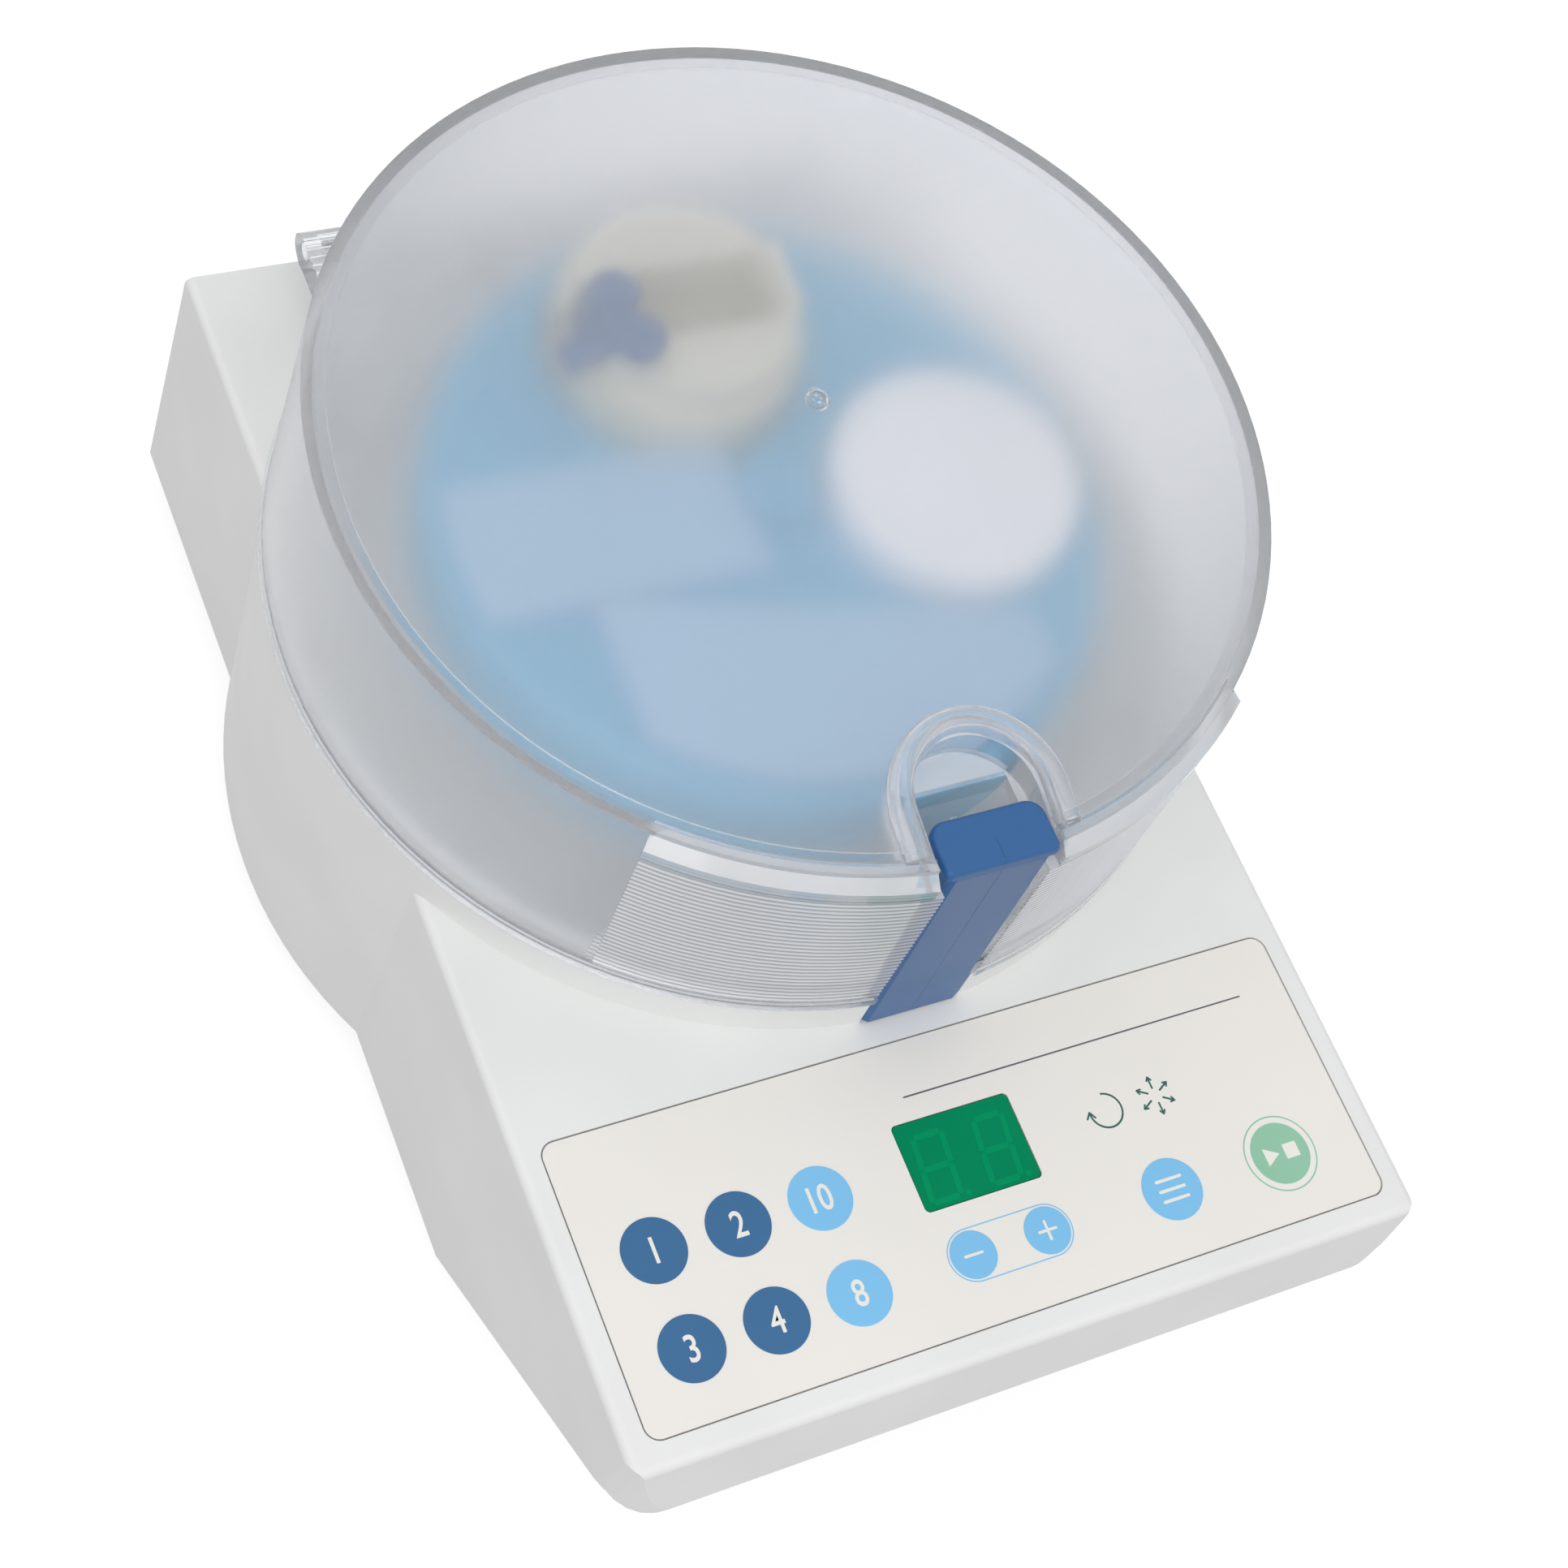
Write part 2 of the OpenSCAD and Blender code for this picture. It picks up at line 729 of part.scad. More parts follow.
module motor_plate() {
  color("silver") difference() {
    at_drum(motor_top) union() {
      cylinder(r = 26, h = plate_t);
      for (a = [45, 135]) rotate([0, 0, a]) translate([-isolator_reach, -7.5, 0]) cube([2 * isolator_reach, 15, plate_t]);
      for (a = [45:90:315]) rotate([0, 0, a]) translate([isolator_reach, 0, 0]) cylinder(r = 9, h = plate_t);
    }
    at_drum(motor_top - 1) cylinder(r = boss_r, h = far);
    isolator_spots() cylinder(r = 2.2, h = far);
    for (a = [0:90:270]) at_drum() rotate([0, 0, a]) translate([15.5, 0, 0]) cylinder(r = screw_r + 0.1, h = far);
  }
}

module motor_isolators() {
  h = isolator_h;
  top = h + plate_t;
  color("dimgray") isolator_spots() translate([0, 0, motor_top - h]) rotate_extrude() polygon([
    [0, 0], [isolator_r, 0], [isolator_r, 2], [isolator_r - 1.6, h / 2], [isolator_r, h - 2], [isolator_r, h],
    [2, h], [2, top], [4, top], [4, top + 2], [0, top + 2],
  ]);
}

module motor_screws() {
  color("silver") for (a = [0:90:270]) at_drum(motor_top + plate_t) rotate([0, 0, a]) translate([15.5, 0, 0]) {
    cylinder(r = 2.6, h = 2);
    translate([0, 0, -plate_t]) cylinder(r = screw_r, h = plate_t + eps);
  }
}

module pulley(r, low) {
  color("darkgray") translate([0, 0, low]) {
    cylinder(r = r + 1.6, h = flange_t);
    translate([0, 0, flange_t - eps]) cylinder(r = r, h = belt_w + 0.6 + 2 * eps);
    translate([0, 0, flange_t + belt_w + 0.6]) cylinder(r = r + 1.6, h = flange_t);
  }
}

// Sun pulley on its fixed tube: the shaft turns inside it
module sun_pulley() {
  z0 = motor_top + plate_t;
  color("silver") difference() {
    at_drum() union() {
      pulley(sun_r, pulley_low);
      translate([0, 0, z0]) cylinder(r = post_r, h = pulley_low - z0 + eps);
      translate([0, 0, z0]) cylinder(r = 12.6, h = 2);
    }
    at_drum(z0 - 1) cylinder(r = shaft_r + 1.5, h = far);
    at_drum(pulley_low + pulley_h - 6) cylinder(r = boss_r, h = far);
  }
}

module shaft_bearing() {
  color("lightsteelblue") at_drum(pulley_low + pulley_h - 6) ring(boss_r, shaft_r + running, 5.8);
}

// Two brackets that hold the hinge pin on the deck
module hinge_brackets() {
  color("whitesmoke") for (sx = [-1, 1]) difference() {
    union() {
      along_x(sx * knuckle_x - knuckle_w / 2, sx * knuckle_x + knuckle_w / 2, hinge_y, hinge_z, barrel_r);
      translate([sx * knuckle_x, 0, 0])
        block(-knuckle_w / 2, knuckle_w / 2, hinge_y - 7, rear_y - 0.6, deck_z, hinge_z - 1);
    }
    along_x(-far / 2, far / 2, hinge_y, hinge_z, hinge_pin_d / 2);
  }
}

module hinge_pin() {
  l = hinge_w / 2 - 5;
  color("silver") along_x(-l, l, hinge_y, hinge_z, hinge_pin_d / 2);
}

// Steel plate under the deck that the latch tongue passes through
module latch_keeper() {
  z = under_deck - 1.5;
  color("silver") difference() {
    block(-16, 16, latch_front - 3, latch_back + 12, z, under_deck);
    tongue_slot(0, far);
    drum_gap();
  }
}

// Room for the chamber tub behind the latch parts
module drum_gap() {
  at_drum(0) cylinder(r = collar_in_r - 6.6, h = far);
}

module lid_switch() {
  x = -tongue_w / 2;
  top = under_deck - 1.5;
  color("black") {
    block(x - 22, x - 2, latch_front + 0.4, latch_front + 6.9, top - 10, top);
    along_x(x - 2 - eps, x - fit, bolt_y, bolt_z, 1.2);
  }
}

module lock_solenoid() {
  x = tongue_w / 2 + 7;
  top = under_deck - 1.5;
  color("goldenrod") difference() {
    union() {
      block(x, x + 2, bolt_y - 6.5, bolt_y + 6.5, top - 14, top);
      block(x + 22, x + 24, bolt_y - 6.5, bolt_y + 6.5, top - 14, top);
      block(x, x + 24, bolt_y - 6.5, bolt_y + 6.5, top - 2, top);
      along_x(x + 2 - eps, x + 22 + eps, bolt_y, top - 8, 5.6);
    }
    along_x(x - 1, x + 20, bolt_y, bolt_z, bolt_r + running);
  }
}

module lock_bolt() {
  x = tongue_w / 2 + bolt_back;
  color("silver") along_x(x, x + bolt_l, bolt_y, bolt_z, bolt_r);
}

// Power inlet with its fuse drawer housing
module power_inlet() {
  y = panel_y;
  color("dimgray") translate([inlet_pos[0], 0, inlet_pos[2]]) difference() {
    union() {
      block(-26, 26, y, y + 2, -16, 16);
      block(-23.6, 23.6, y - 24, y + eps, -13.6, 13.6);
    }
    block(-inlet_w / 2 - 8, inlet_w / 2 - 8, y - 16, y + 3, -inlet_h / 2, inlet_h / 2);
    block(9, 19.4, y - 20, y + 3, -11.4, 11.4);
  }
}

// Three blade pins that stand on the inlet's back wall
module inlet_pins() {
  color("gold") translate([inlet_pos[0] - 8, 0, inlet_pos[2]]) for (p = [[-7, -1.5], [0, 2], [7, -1.5]])
    translate([p[0], 0, p[1]]) block(-1, 1, panel_y - 16, panel_y - 3, -2, 2);
}

module fuse_drawer() {
  y = panel_y;
  color("black") translate([inlet_pos[0], 0, inlet_pos[2]]) difference() {
    union() {
      block(9 + fit, 19.4 - fit, y - 19, y + 1.6, -11.4 + fit, 11.4 - fit);
      block(8.2, 20.2, y + 2 + fit, y + 4.2, -12.4, 12.4);
      block(11, 17, y + 1.5, y + 2 + fit + eps, -8, 8);
    }
    block(11.5, 17, y - 17, y - 3, -8, 8);
  }
}

module switch_frame() {
  y = panel_y;
  color("black") translate([switch_pos[0], 0, switch_pos[2]]) difference() {
    union() {
      block(-8.4, 8.4, y, y + 2, -12.6, 12.6);
      block(-6.6, 6.6, y - 16, y + eps, -10.9, 10.9);
    }
    block(-5.2, 5.2, y - 10, y + 3, -9.8, 9.8);
    along_x(-far, far, y - rocker_in, 0, rocker_pin_r + running);
  }
}

// Rocker that tips in the switch frame about its own cross pin
module power_rocker() {
  y = panel_y;
  color("darkred") translate([switch_pos[0], 0, switch_pos[2]]) {
    extrude_x(-4.9, 4.9) polygon([
      [y - 5, -3.5], [y + 0.6, -8], [y + 3.8, -8], [y + 2.2, 0], [y + 1, 8], [y + 0.2, 8], [y - 5, 3.5],
    ]);
    along_x(-6.2, 6.2, y - rocker_in, 0, rocker_pin_r);
  }
}

module power_board() {
  color("seagreen") {
    block(-62, 62, knee_y + 7, knee_y + 51, foot_h + pan_t + 4, foot_h + pan_t + 5.6);
  }
}

// Capacitors, heat sink and sockets on the power board
module power_parts() {
  z = foot_h + pan_t + 5.6;
  color("navy") {
    for (x = [-46, -28]) translate([x, knee_y + 24, z]) cylinder(r = 7.5, h = 22);
    for (x = [-10, 6]) translate([x, knee_y + 18, z]) cylinder(r = 5, h = 14);
    for (i = [0:5]) block(22 + 5 * i, 24 + 5 * i, knee_y + 12, knee_y + 44, z + 3 - eps, z + 18);
    block(21, 51, knee_y + 12, knee_y + 44, z, z + 3);
    block(-50, -26, knee_y + 38, knee_y + 48, z, z + 9);
  }
}

module mains_transformer() {
  z = foot_h + pan_t;
  y = rear_y - 46;
  color("darkslategray") {
    block(28, 62, y, y + 32, z, z + 36);
    block(32, 58, y - 4, y + 36, z + 6, z + 30);
  }
}

// Lid: tapered wall, flat rim and dome, with the hinge block, grip and latch pocket moulded on
module lid_shell() {
  color("lightsteelblue", 0.6) difference() {
    union() {
      difference() {
        union() {
          lid_solid();
          grip_solid();
          hinge_block();
        }
        lid_hollow();
      }
      intersection() {
        latch_pocket();
        lid_envelope();
      }
    }
    latch_slot();
    finger_recess();
    hinge_bores();
    along_x(-latch_cheek() - 1, latch_cheek() + 1, latch_pin_y, latch_pin_z, latch_pin_d / 2);
  }
}

function latch_cheek() = slot_w / 2 + latch_box_wall;
function lid_inner_r(z) = lid_base_r - lid_wall - (lid_base_r - lid_rim_r) * (z - lid_z) / (rim_z - lid_z);

module lid_solid() {
  at_drum(lid_z) cylinder(r1 = lid_base_r, r2 = lid_rim_r, h = rim_z - lid_z);
  at_drum(lid_z) cylinder(r = lid_base_r + 0.4, h = 2.6);
  dome(0);
}

// Cap of a sphere that stands on the rim, lowered by an inset
module dome(inset) {
  intersection() {
    at_drum(rim_z - 2 * lid_wall) cylinder(r = dome_r - inset, h = far / 4);
    at_drum(rim_z + dome_rise - sphere_r) sphere(r = sphere_r - inset, $fn = 180);
  }
}

module lid_hollow() {
  z1 = rim_z - lid_wall;
  at_drum(lid_z - 1) cylinder(r1 = lid_base_r - lid_wall, r2 = lid_inner_r(z1), h = z1 - lid_z + 1);
  dome(lid_wall);
}

// Everything inside the lid's outer surface, also below its seam
module lid_envelope() {
  at_drum(deck_z) cylinder(r = collar_in_r - 0.8, h = rim_z - deck_z - 0.5);
  lid_solid();
  grip_solid();
}

// Ribbed grip round the front with a sloped top
module grip_solid() {
  z0 = lid_z + 3.4;
  z1 = rim_z - 3.4;
  ribs = floor((z1 - z0 - 3) / grip_pitch);
  at_drum() rotate([0, 0, -90 - grip_half_angle]) rotate_extrude(angle = 2 * grip_half_angle) polygon(concat(
    [[lid_inner_r(z0) + 0.5, z0], [grip_r, z0]],
    [for (i = [0:ribs - 1]) for (s = [0, 1]) [grip_r - 0.45 * s, z0 + grip_pitch * (i + 0.5 + 0.5 * s)]],
    [[grip_r, z0 + grip_pitch * (ribs + 0.5)], [grip_r, z1], [dome_r + 0.6, rim_z + 0.35], [lid_inner_r(rim_z), rim_z - 1]]
  ));
}

// Hinge block: ribbed plate that carries the barrel behind the collar
module hinge_block() {
  top = hinge_z + barrel_r - 0.4;
  rib = 2.2;
  difference() {
    union() {
      block(-hinge_w / 2, hinge_w / 2, drum_y + 60, hinge_y, hinge_z - barrel_r + 0.4, top);
      for (i = [0:7]) block(-hinge_w / 2, hinge_w / 2, hinge_y - rib * i - 0.5, hinge_y - rib * i + 0.5, top - eps, top + 0.6);
      along_x(-hinge_w / 2, hinge_w / 2, hinge_y, hinge_z, barrel_r);
      intersection() {
        block(-hinge_w / 2, hinge_w / 2, drum_y + 60, hinge_y, hinge_z - barrel_r + 0.4, lid_z + 2);
        at_drum(0) cylinder(r = lid_base_r, h = far);
      }
    }
    at_drum(0) cylinder(r = lid_base_r - lid_wall, h = far);
    for (sx = [-1, 1]) knuckle_gap(sx);
  }
}

module knuckle_gap(sx) {
  w = knuckle_w / 2 + 0.5;
  block(sx * knuckle_x - w, sx * knuckle_x + w, hinge_y - 9, far / 2, 0, far);
}

module hinge_bores() {
  l = hinge_w / 2 - 4;
  along_x(-l, l, hinge_y, hinge_z, hinge_pin_d / 2 + running);
}

// Walls round the latch and the finger recess, on the inside of the lid
module latch_pocket() {
  cheek = latch_cheek();
  low = deck_z + 3;
  back = latch_box_back;
  difference() {
    union() {
      block(-cheek, cheek, -far / 2, back + latch_box_wall, low, recess_z);
      block(-recess_r - floor_t, recess_r + floor_t, -far / 2, recess_y, recess_z - floor_t, far);
      translate([0, recess_y, recess_z - floor_t]) cylinder(r = recess_r + floor_t, h = far);
    }
    block(-slot_w / 2, slot_w / 2, -far / 2, back, low - 1, recess_z - floor_t);
  }
}

module latch_slot() {
  block(-slot_w / 2, slot_w / 2, -far / 2, latch_back + 1, 0, far);
  block(-slot_w / 2, slot_w / 2, -far / 2, latch_box_back, 0, recess_z - floor_t);
}

module finger_recess() {
  block(-recess_r, recess_r, -far / 2, recess_y, recess_z, far);
  translate([0, recess_y, recess_z]) cylinder(r = recess_r, h = far);
}

module latch_pin() {
  l = latch_cheek();
  color("silver") along_x(-l, l, latch_pin_y, latch_pin_z, latch_pin_d / 2);
}

// Compression spring between the latch's rear arm and the recess floor
module latch_spring() {
  y = latch_pin_y + 7.4;
  z0 = latch_pin_z + 2.2;
  h = recess_z - floor_t - z0 - 0.1;
  color("silver") translate([0, y, z0]) coil(2.4, 0.45, h, 7);
}

// Helical wire of n turns between two levels
module coil(r, wire, h, n) {
  sides = 6;
  rings = 14 * n;
  pitch = h - 2 * wire;
  pts = [
    for (i = [0:rings]) for (k = [0:sides - 1])
      let(a = 360 * n * i / rings, b = 360 * k / sides, d = r + wire * cos(b))
        [d * cos(a), d * sin(a), wire + pitch * i / rings + wire * sin(b)],
  ];
  faces = concat(
    [[for (k = [0:sides - 1]) k]],
    [for (i = [0:rings - 1]) for (k = [0:sides - 1])
      let(k2 = (k + 1) % sides) [i * sides + k, (i + 1) * sides + k, (i + 1) * sides + k2, i * sides + k2]],
    [[for (k = [sides - 1:-1:0]) rings * sides + k]]
  );
  polyhedron(points = pts, faces = faces, convexity = 10);
}

// Latch: bar, cap, pivot boss, spring arm and tongue in one moulding
module latch_lever() {
  color("royalblue") difference() {
    union() {
      latch_bar();
      latch_cap();
      along_x(-latch_w / 2 + 1, latch_w / 2 - 1, latch_pin_y, latch_pin_z, 3.6);
      block(-3, 3, latch_pin_y, latch_pin_y + 10.4, latch_pin_z - 1.6, latch_pin_z + 1.8);
      block(-tongue_w / 2, tongue_w / 2, latch_front + 1, latch_front + 1 + tongue_t, tongue_low, deck_z + 2);
    }
    along_x(-far / 2, far / 2, latch_pin_y, latch_pin_z, latch_pin_d / 2 + running);
    along_x(-far / 2, far / 2, bolt_y, bolt_z, bolt_r + 0.2);
  }
}

module latch_bar() {
  bevel = 1.6;
  translate([0, 0, deck_z + 0.9]) linear_extrude(height = cap_z - deck_z - 0.9 + eps) polygon([
    [-latch_w / 2, latch_back], [-latch_w / 2, latch_front + bevel], [-latch_w / 2 + bevel, latch_front],
    [latch_w / 2 - bevel, latch_front], [latch_w / 2, latch_front + bevel], [latch_w / 2, latch_back],
  ]);
}

module latch_cap() {
  r = 3.6;
  translate([0, 0, cap_z]) linear_extrude(height = cap_t) union() {
    translate([-cap_w / 2 + r, cap_front]) square([cap_w - 2 * r, cap_d]);
    translate([-cap_w / 2, cap_front + 1]) square([cap_w, cap_d - 1 - r]);
    for (sx = [-1, 1]) {
      translate([sx * (cap_w / 2 - r), cap_back - r]) circle(r = r);
      translate([sx * (cap_w / 2 - 1), cap_front + 1]) circle(r = 1);
    }
    translate([-cap_w / 2 + 1, cap_front]) square([cap_w - 2, 2]);
  }
}

// Rotor: shaft, carrier plate, cover, weights and nut
module motor_shaft() {
  z0 = motor_top - 13;
  color("silver") at_drum(z0) cylinder(r = shaft_r, h = cover_top + 3 - z0);
}

module carrier_plate() {
  color("lightgray") difference() {
    union() {
      at_drum(carrier_low) cylinder(r = carrier_r, h = carrier_t);
      at_drum(carrier_low) cylinder(r = 12, h = cover_top - rotor_wall - carrier_low);
      translate([holder_pos[0], holder_pos[1], carrier_low]) cylinder(r = 12, h = carrier_t + 0.4);
      for (a = cover_post_angles()) at_drum(carrier_low) rotate([0, 0, a]) translate([56, 0, 0])
        cylinder(r = 5, h = cover_top - rotor_wall - carrier_low);
    }
    at_drum(0) cylinder(r = shaft_r, h = far);
    translate([holder_pos[0], holder_pos[1], 0]) cylinder(r = 8, h = far);
  }
}

function cover_post_angles() = [40, 160, 225, 290];

module rotor_cover() {
  r = 5;
  t = rotor_wall;
  color("skyblue") difference() {
    at_drum() rotate_extrude() polygon(concat(
      [[0, cover_top]],
      arc([rotor_r - r, cover_top - r], r, 90, 0),
      [[rotor_r, cover_low], [rotor_r - t, cover_low]],
      arc([rotor_r - r, cover_top - r], r - t, 0, 90),
      [[0, cover_top - t]]
    ));
    at_drum(0) cylinder(r = shaft_r, h = far);
    translate([holder_pos[0], holder_pos[1], 0]) cylinder(r = holder_r + 1.5, h = far);
  }
}

// Two raised trim plates that balance the rotor
module balance_plates() {
  color("lightsteelblue") at_drum(cover_top) {
    rotate([0, 0, 150]) rotate_extrude(angle = 36) translate([20, 0]) square([46, 2]);
    rotate([0, 0, 214]) rotate_extrude(angle = 86) translate([24, 0]) square([38, 2]);
  }
}

module counterweight_cap() {
  h = deck_z + weight_top - cover_top;
  color("white") translate([weight_pos[0], weight_pos[1], cover_top]) rotate_extrude() polygon(concat(
    [[weight_r, 0]],
    arc([weight_r - 3, h - 3], 3, 0, 90),
    [[0, h], [0, h - 2], [weight_r - 4, h - 2], [weight_r - 2.2, h - 4], [weight_r - 2.2, 0]]
  ));
}

module counterweight() {
  color("gray") translate([weight_pos[0], weight_pos[1], cover_top]) cylinder(r = weight_r - 6, h = 5.6);
}

module hub_nut() {
  color("silver") at_drum(cover_top) difference() {
    cylinder(r = 8, h = 4.4);
    translate([0, 0, -1]) cylinder(r = shaft_r, h = 4);
  }
}

module planet_bearing() {
  color("lightsteelblue") translate([holder_pos[0], holder_pos[1], carrier_low])
    ring(8, planet_shaft_r + running, carrier_t + 0.4);
}

// Loop outline round the sun and planet pulleys, grown outwards
module belt_loop(grow) {
  r1 = sun_r + grow;
  r2 = planet_r + grow;
  a = acos((r1 - r2) / holder_reach);
  rotate([0, 0, holder_angle]) polygon(concat(
    arc([0, 0], r1, a, 360 - a, 32),
    arc([holder_reach, 0], r2, -a, a, 24)
  ));
}

module drive_belt() {
  color("dimgray") at_drum(pulley_low + flange_t + 0.3) linear_extrude(height = belt_w) difference() {
    belt_loop(fit + belt_t);
    belt_loop(fit);
  }
}

// Capsule holder: round cup with a cradle across its top
module capsule_holder() {
  h = holder_high - holder_low;
  color("ivory") translate([holder_pos[0], holder_pos[1], 0]) difference() {
    union() {
      translate([0, 0, holder_low]) cylinder(r = holder_r, h = h - 8);
      translate([0, 0, holder_low]) cylinder(r = holder_r - 3, h = h);
      block(holder_r - 7, holder_r - 4, -8, 8, holder_high - 10, holder_high + 3);
    }
    block(seat_x - capsule_l, seat_x, -capsule_d / 2 - 1, capsule_d / 2 + 1, seat_z, far);
    along_x(seat_x - capsule_l, seat_x, 0, seat_z, capsule_d / 2 + 1);
    block(-far / 2, clamp_x + 7, -7.4, 7.4, seat_z - 6, far);
    along_y(clamp_x, -far / 2, far / 2, clamp_z, clamp_pin_r);
    translate([0, 0, holder_low - 1]) cylinder(r = planet_shaft_r, h = 9);
  }
}

module planet_shaft() {
  color("silver") translate([holder_pos[0], holder_pos[1], pulley_low])
    cylinder(r = planet_shaft_r, h = holder_low + 8 - pulley_low);
}

module planet_pulley() {
  color("darkgray") translate([holder_pos[0], holder_pos[1], 0]) difference() {
    pulley(planet_r, pulley_low);
    cylinder(r = planet_shaft_r, h = far);
  }
}

module clamp_pin() {
  color("silver") translate([holder_pos[0] + clamp_x, holder_pos[1], clamp_z])
    along_y(0, -12, 12, 0, clamp_pin_r);
}

// Clamp: lever with two finger lobes that holds the capsule's end
module clamp_lever() {
  color("midnightblue") translate([holder_pos[0] + clamp_x, holder_pos[1], clamp_z]) difference() {
    union() {
      along_y(0, -7, 7, 0, 3.4);
      block(-2, 3.2, -7, 7, 0, 14);
      for (sy = [-1, 1]) translate([-1, sy * 5, 13]) rotate([0, 20, 0]) cylinder(r = 5.4, h = 4);
    }
    along_y(0, -far / 2, far / 2, 0, clamp_pin_r + running);
  }
}

housing_shell();
base_pan();
rubber_feet();
base_screws();
control_film();
keypad_membrane();
snap_domes();
display_window();
display_module();
control_board();
board_screws();
chamber_tub();
tub_screws();
lid_gasket();
drive_motor();
motor_plate();
motor_isolators();
motor_screws();
sun_pulley();
shaft_bearing();
hinge_brackets();
hinge_pin();
latch_keeper();
lid_switch();
lock_solenoid();
power_inlet();
inlet_pins();
switch_frame();
power_board();
power_parts();
mains_transformer();
lid_shell();
latch_pin();
latch_spring();
latch_lever();
lock_bolt();
motor_shaft();
carrier_plate();
rotor_cover();
balance_plates();
counterweight_cap();
counterweight();
hub_nut();
planet_bearing();
drive_belt();
capsule_holder();
planet_shaft();
planet_pulley();
clamp_pin();
clamp_lever();
power_rocker();
fuse_drawer();
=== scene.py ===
"""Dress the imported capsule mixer: finishes, printed panel, display, lid, latch and studio."""

import logging
import math
from collections.abc import Callable, Iterator, Sequence
from contextlib import contextmanager
from dataclasses import dataclass
from enum import Enum

import bmesh
import bpy
from bpy.types import Material, NodeSocket, NodeTree, Object
from mathutils import Euler, Matrix, Vector


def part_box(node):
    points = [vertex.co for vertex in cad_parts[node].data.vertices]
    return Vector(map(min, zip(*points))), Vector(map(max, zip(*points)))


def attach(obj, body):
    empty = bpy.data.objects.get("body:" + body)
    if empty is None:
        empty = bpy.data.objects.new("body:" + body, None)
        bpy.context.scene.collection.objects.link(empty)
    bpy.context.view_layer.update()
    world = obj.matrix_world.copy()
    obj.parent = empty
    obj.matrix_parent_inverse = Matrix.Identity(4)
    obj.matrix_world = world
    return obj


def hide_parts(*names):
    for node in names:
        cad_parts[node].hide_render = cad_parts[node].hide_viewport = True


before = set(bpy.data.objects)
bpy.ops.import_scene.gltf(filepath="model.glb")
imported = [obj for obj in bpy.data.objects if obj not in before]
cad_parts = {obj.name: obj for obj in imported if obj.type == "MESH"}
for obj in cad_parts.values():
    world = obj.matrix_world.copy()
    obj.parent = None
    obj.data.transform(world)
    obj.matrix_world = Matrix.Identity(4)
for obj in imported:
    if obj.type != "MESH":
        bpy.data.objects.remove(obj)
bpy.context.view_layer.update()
MM = 0.001
LOG = logging.getLogger("capsule_mixer")
# Two places in metres count as one when they are nearer than this.
NEAR = 1e-7
# Faces that meet at less than this angle in degrees are shaded smooth.
SMOOTH_ANGLE = 30
# Most of a noise value lies between these two.
NOISE_RANGE = (0.3, 0.7)


class Body(Enum):
    """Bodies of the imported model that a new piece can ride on."""

    HOUSING = "housing"
    LID = "lid"
    LATCH = "latch"
    ROTOR = "rotor"
    CLAMP = "clamp"


class Slot(Enum):
    """Material slot names of the record; no piece here takes its finish from them."""

    FILM = "film_cream"
    DISPLAY = "display_green"
    LID = "lid_frosted"
    LATCH = "latch_blue"
    WHITE = "cap_white"


def linear(colour: str, share: float = 1.0) -> tuple[float, ...]:
    """Turn an sRGB hex colour into the linear values that the shaders take.

    Args:
        colour: A mark and six hex digits.
        share: Factor on the linear colour, to darken or lighten it.

    Returns:
        Red, green, blue and alpha, from 0 to 1.
    """
    parts = [int(colour[i : i + 2], 16) / 255 for i in (1, 3, 5)]
    lit = [c / 12.92 if c <= 0.04045 else ((c + 0.055) / 1.055) ** 2.4 for c in parts]
    return (*(min(c * share, 1.0) for c in lit), 1.0)


def add_node(
    tree: NodeTree,
    kind: str,
    *values: object,
    inputs: dict | None = None,
    output: int | str | None = 0,
    **settings: object,
) -> NodeSocket | None:
    """Add a shader node with its settings and its inputs, each a value or a link.

    Args:
        tree: Node tree that takes the node.
        kind: Name of the node's type after the word ShaderNode.
        values: Values or sockets for its first inputs, in order.
        inputs: Values or sockets by the name or number of an input.
        output: Name or number of the output that is wanted, None on a node that has none.
        settings: Values by the name of a property.

    Returns:
        The wanted output.
    """
    node = tree.nodes.new("ShaderNode" + kind)
    for name, value in settings.items():
        setattr(node, name, value)
    for key, value in {**dict(enumerate(values)), **(inputs or {})}.items():
        if isinstance(value, NodeSocket):
            tree.links.new(value, node.inputs[key])
        else:
            node.inputs[key].default_value = value
    return None if output is None else node.outputs[output]


def grain(tree: NodeTree, size_mm: float, detail: float = 2.0, stretch: tuple = (1, 1, 1)) -> NodeSocket:
    """Noise on the object's own coordinates with a grain of a real size.

    Args:
        tree: Node tree that takes the nodes.
        size_mm: Width of one grain in millimetres.
        detail: Levels of finer noise on top.
        stretch: Scale along X, Y and Z, under 1 where the grain is drawn out.

    Returns:
        The noise value, from 0 to 1.
    """
    where = add_node(tree, "TexCoord", output="Object")
    turned = add_node(tree, "Mapping", inputs={"Vector": where, "Scale": stretch})
    noise = {"Vector": turned, "Scale": 1 / (size_mm * MM), "Detail": detail}
    return add_node(tree, "TexNoise", inputs=noise, output="Fac")


def coordinate(tree: NodeTree, axis: int) -> NodeSocket:
    """One of the object's own coordinates.

    Args:
        tree: Node tree that takes the nodes.
        axis: 0 for X, 1 for Y and 2 for Z.

    Returns:
        The coordinate in metres.
    """
    where = add_node(tree, "TexCoord", output="Object")
    return add_node(tree, "SeparateXYZ", where, output=axis)


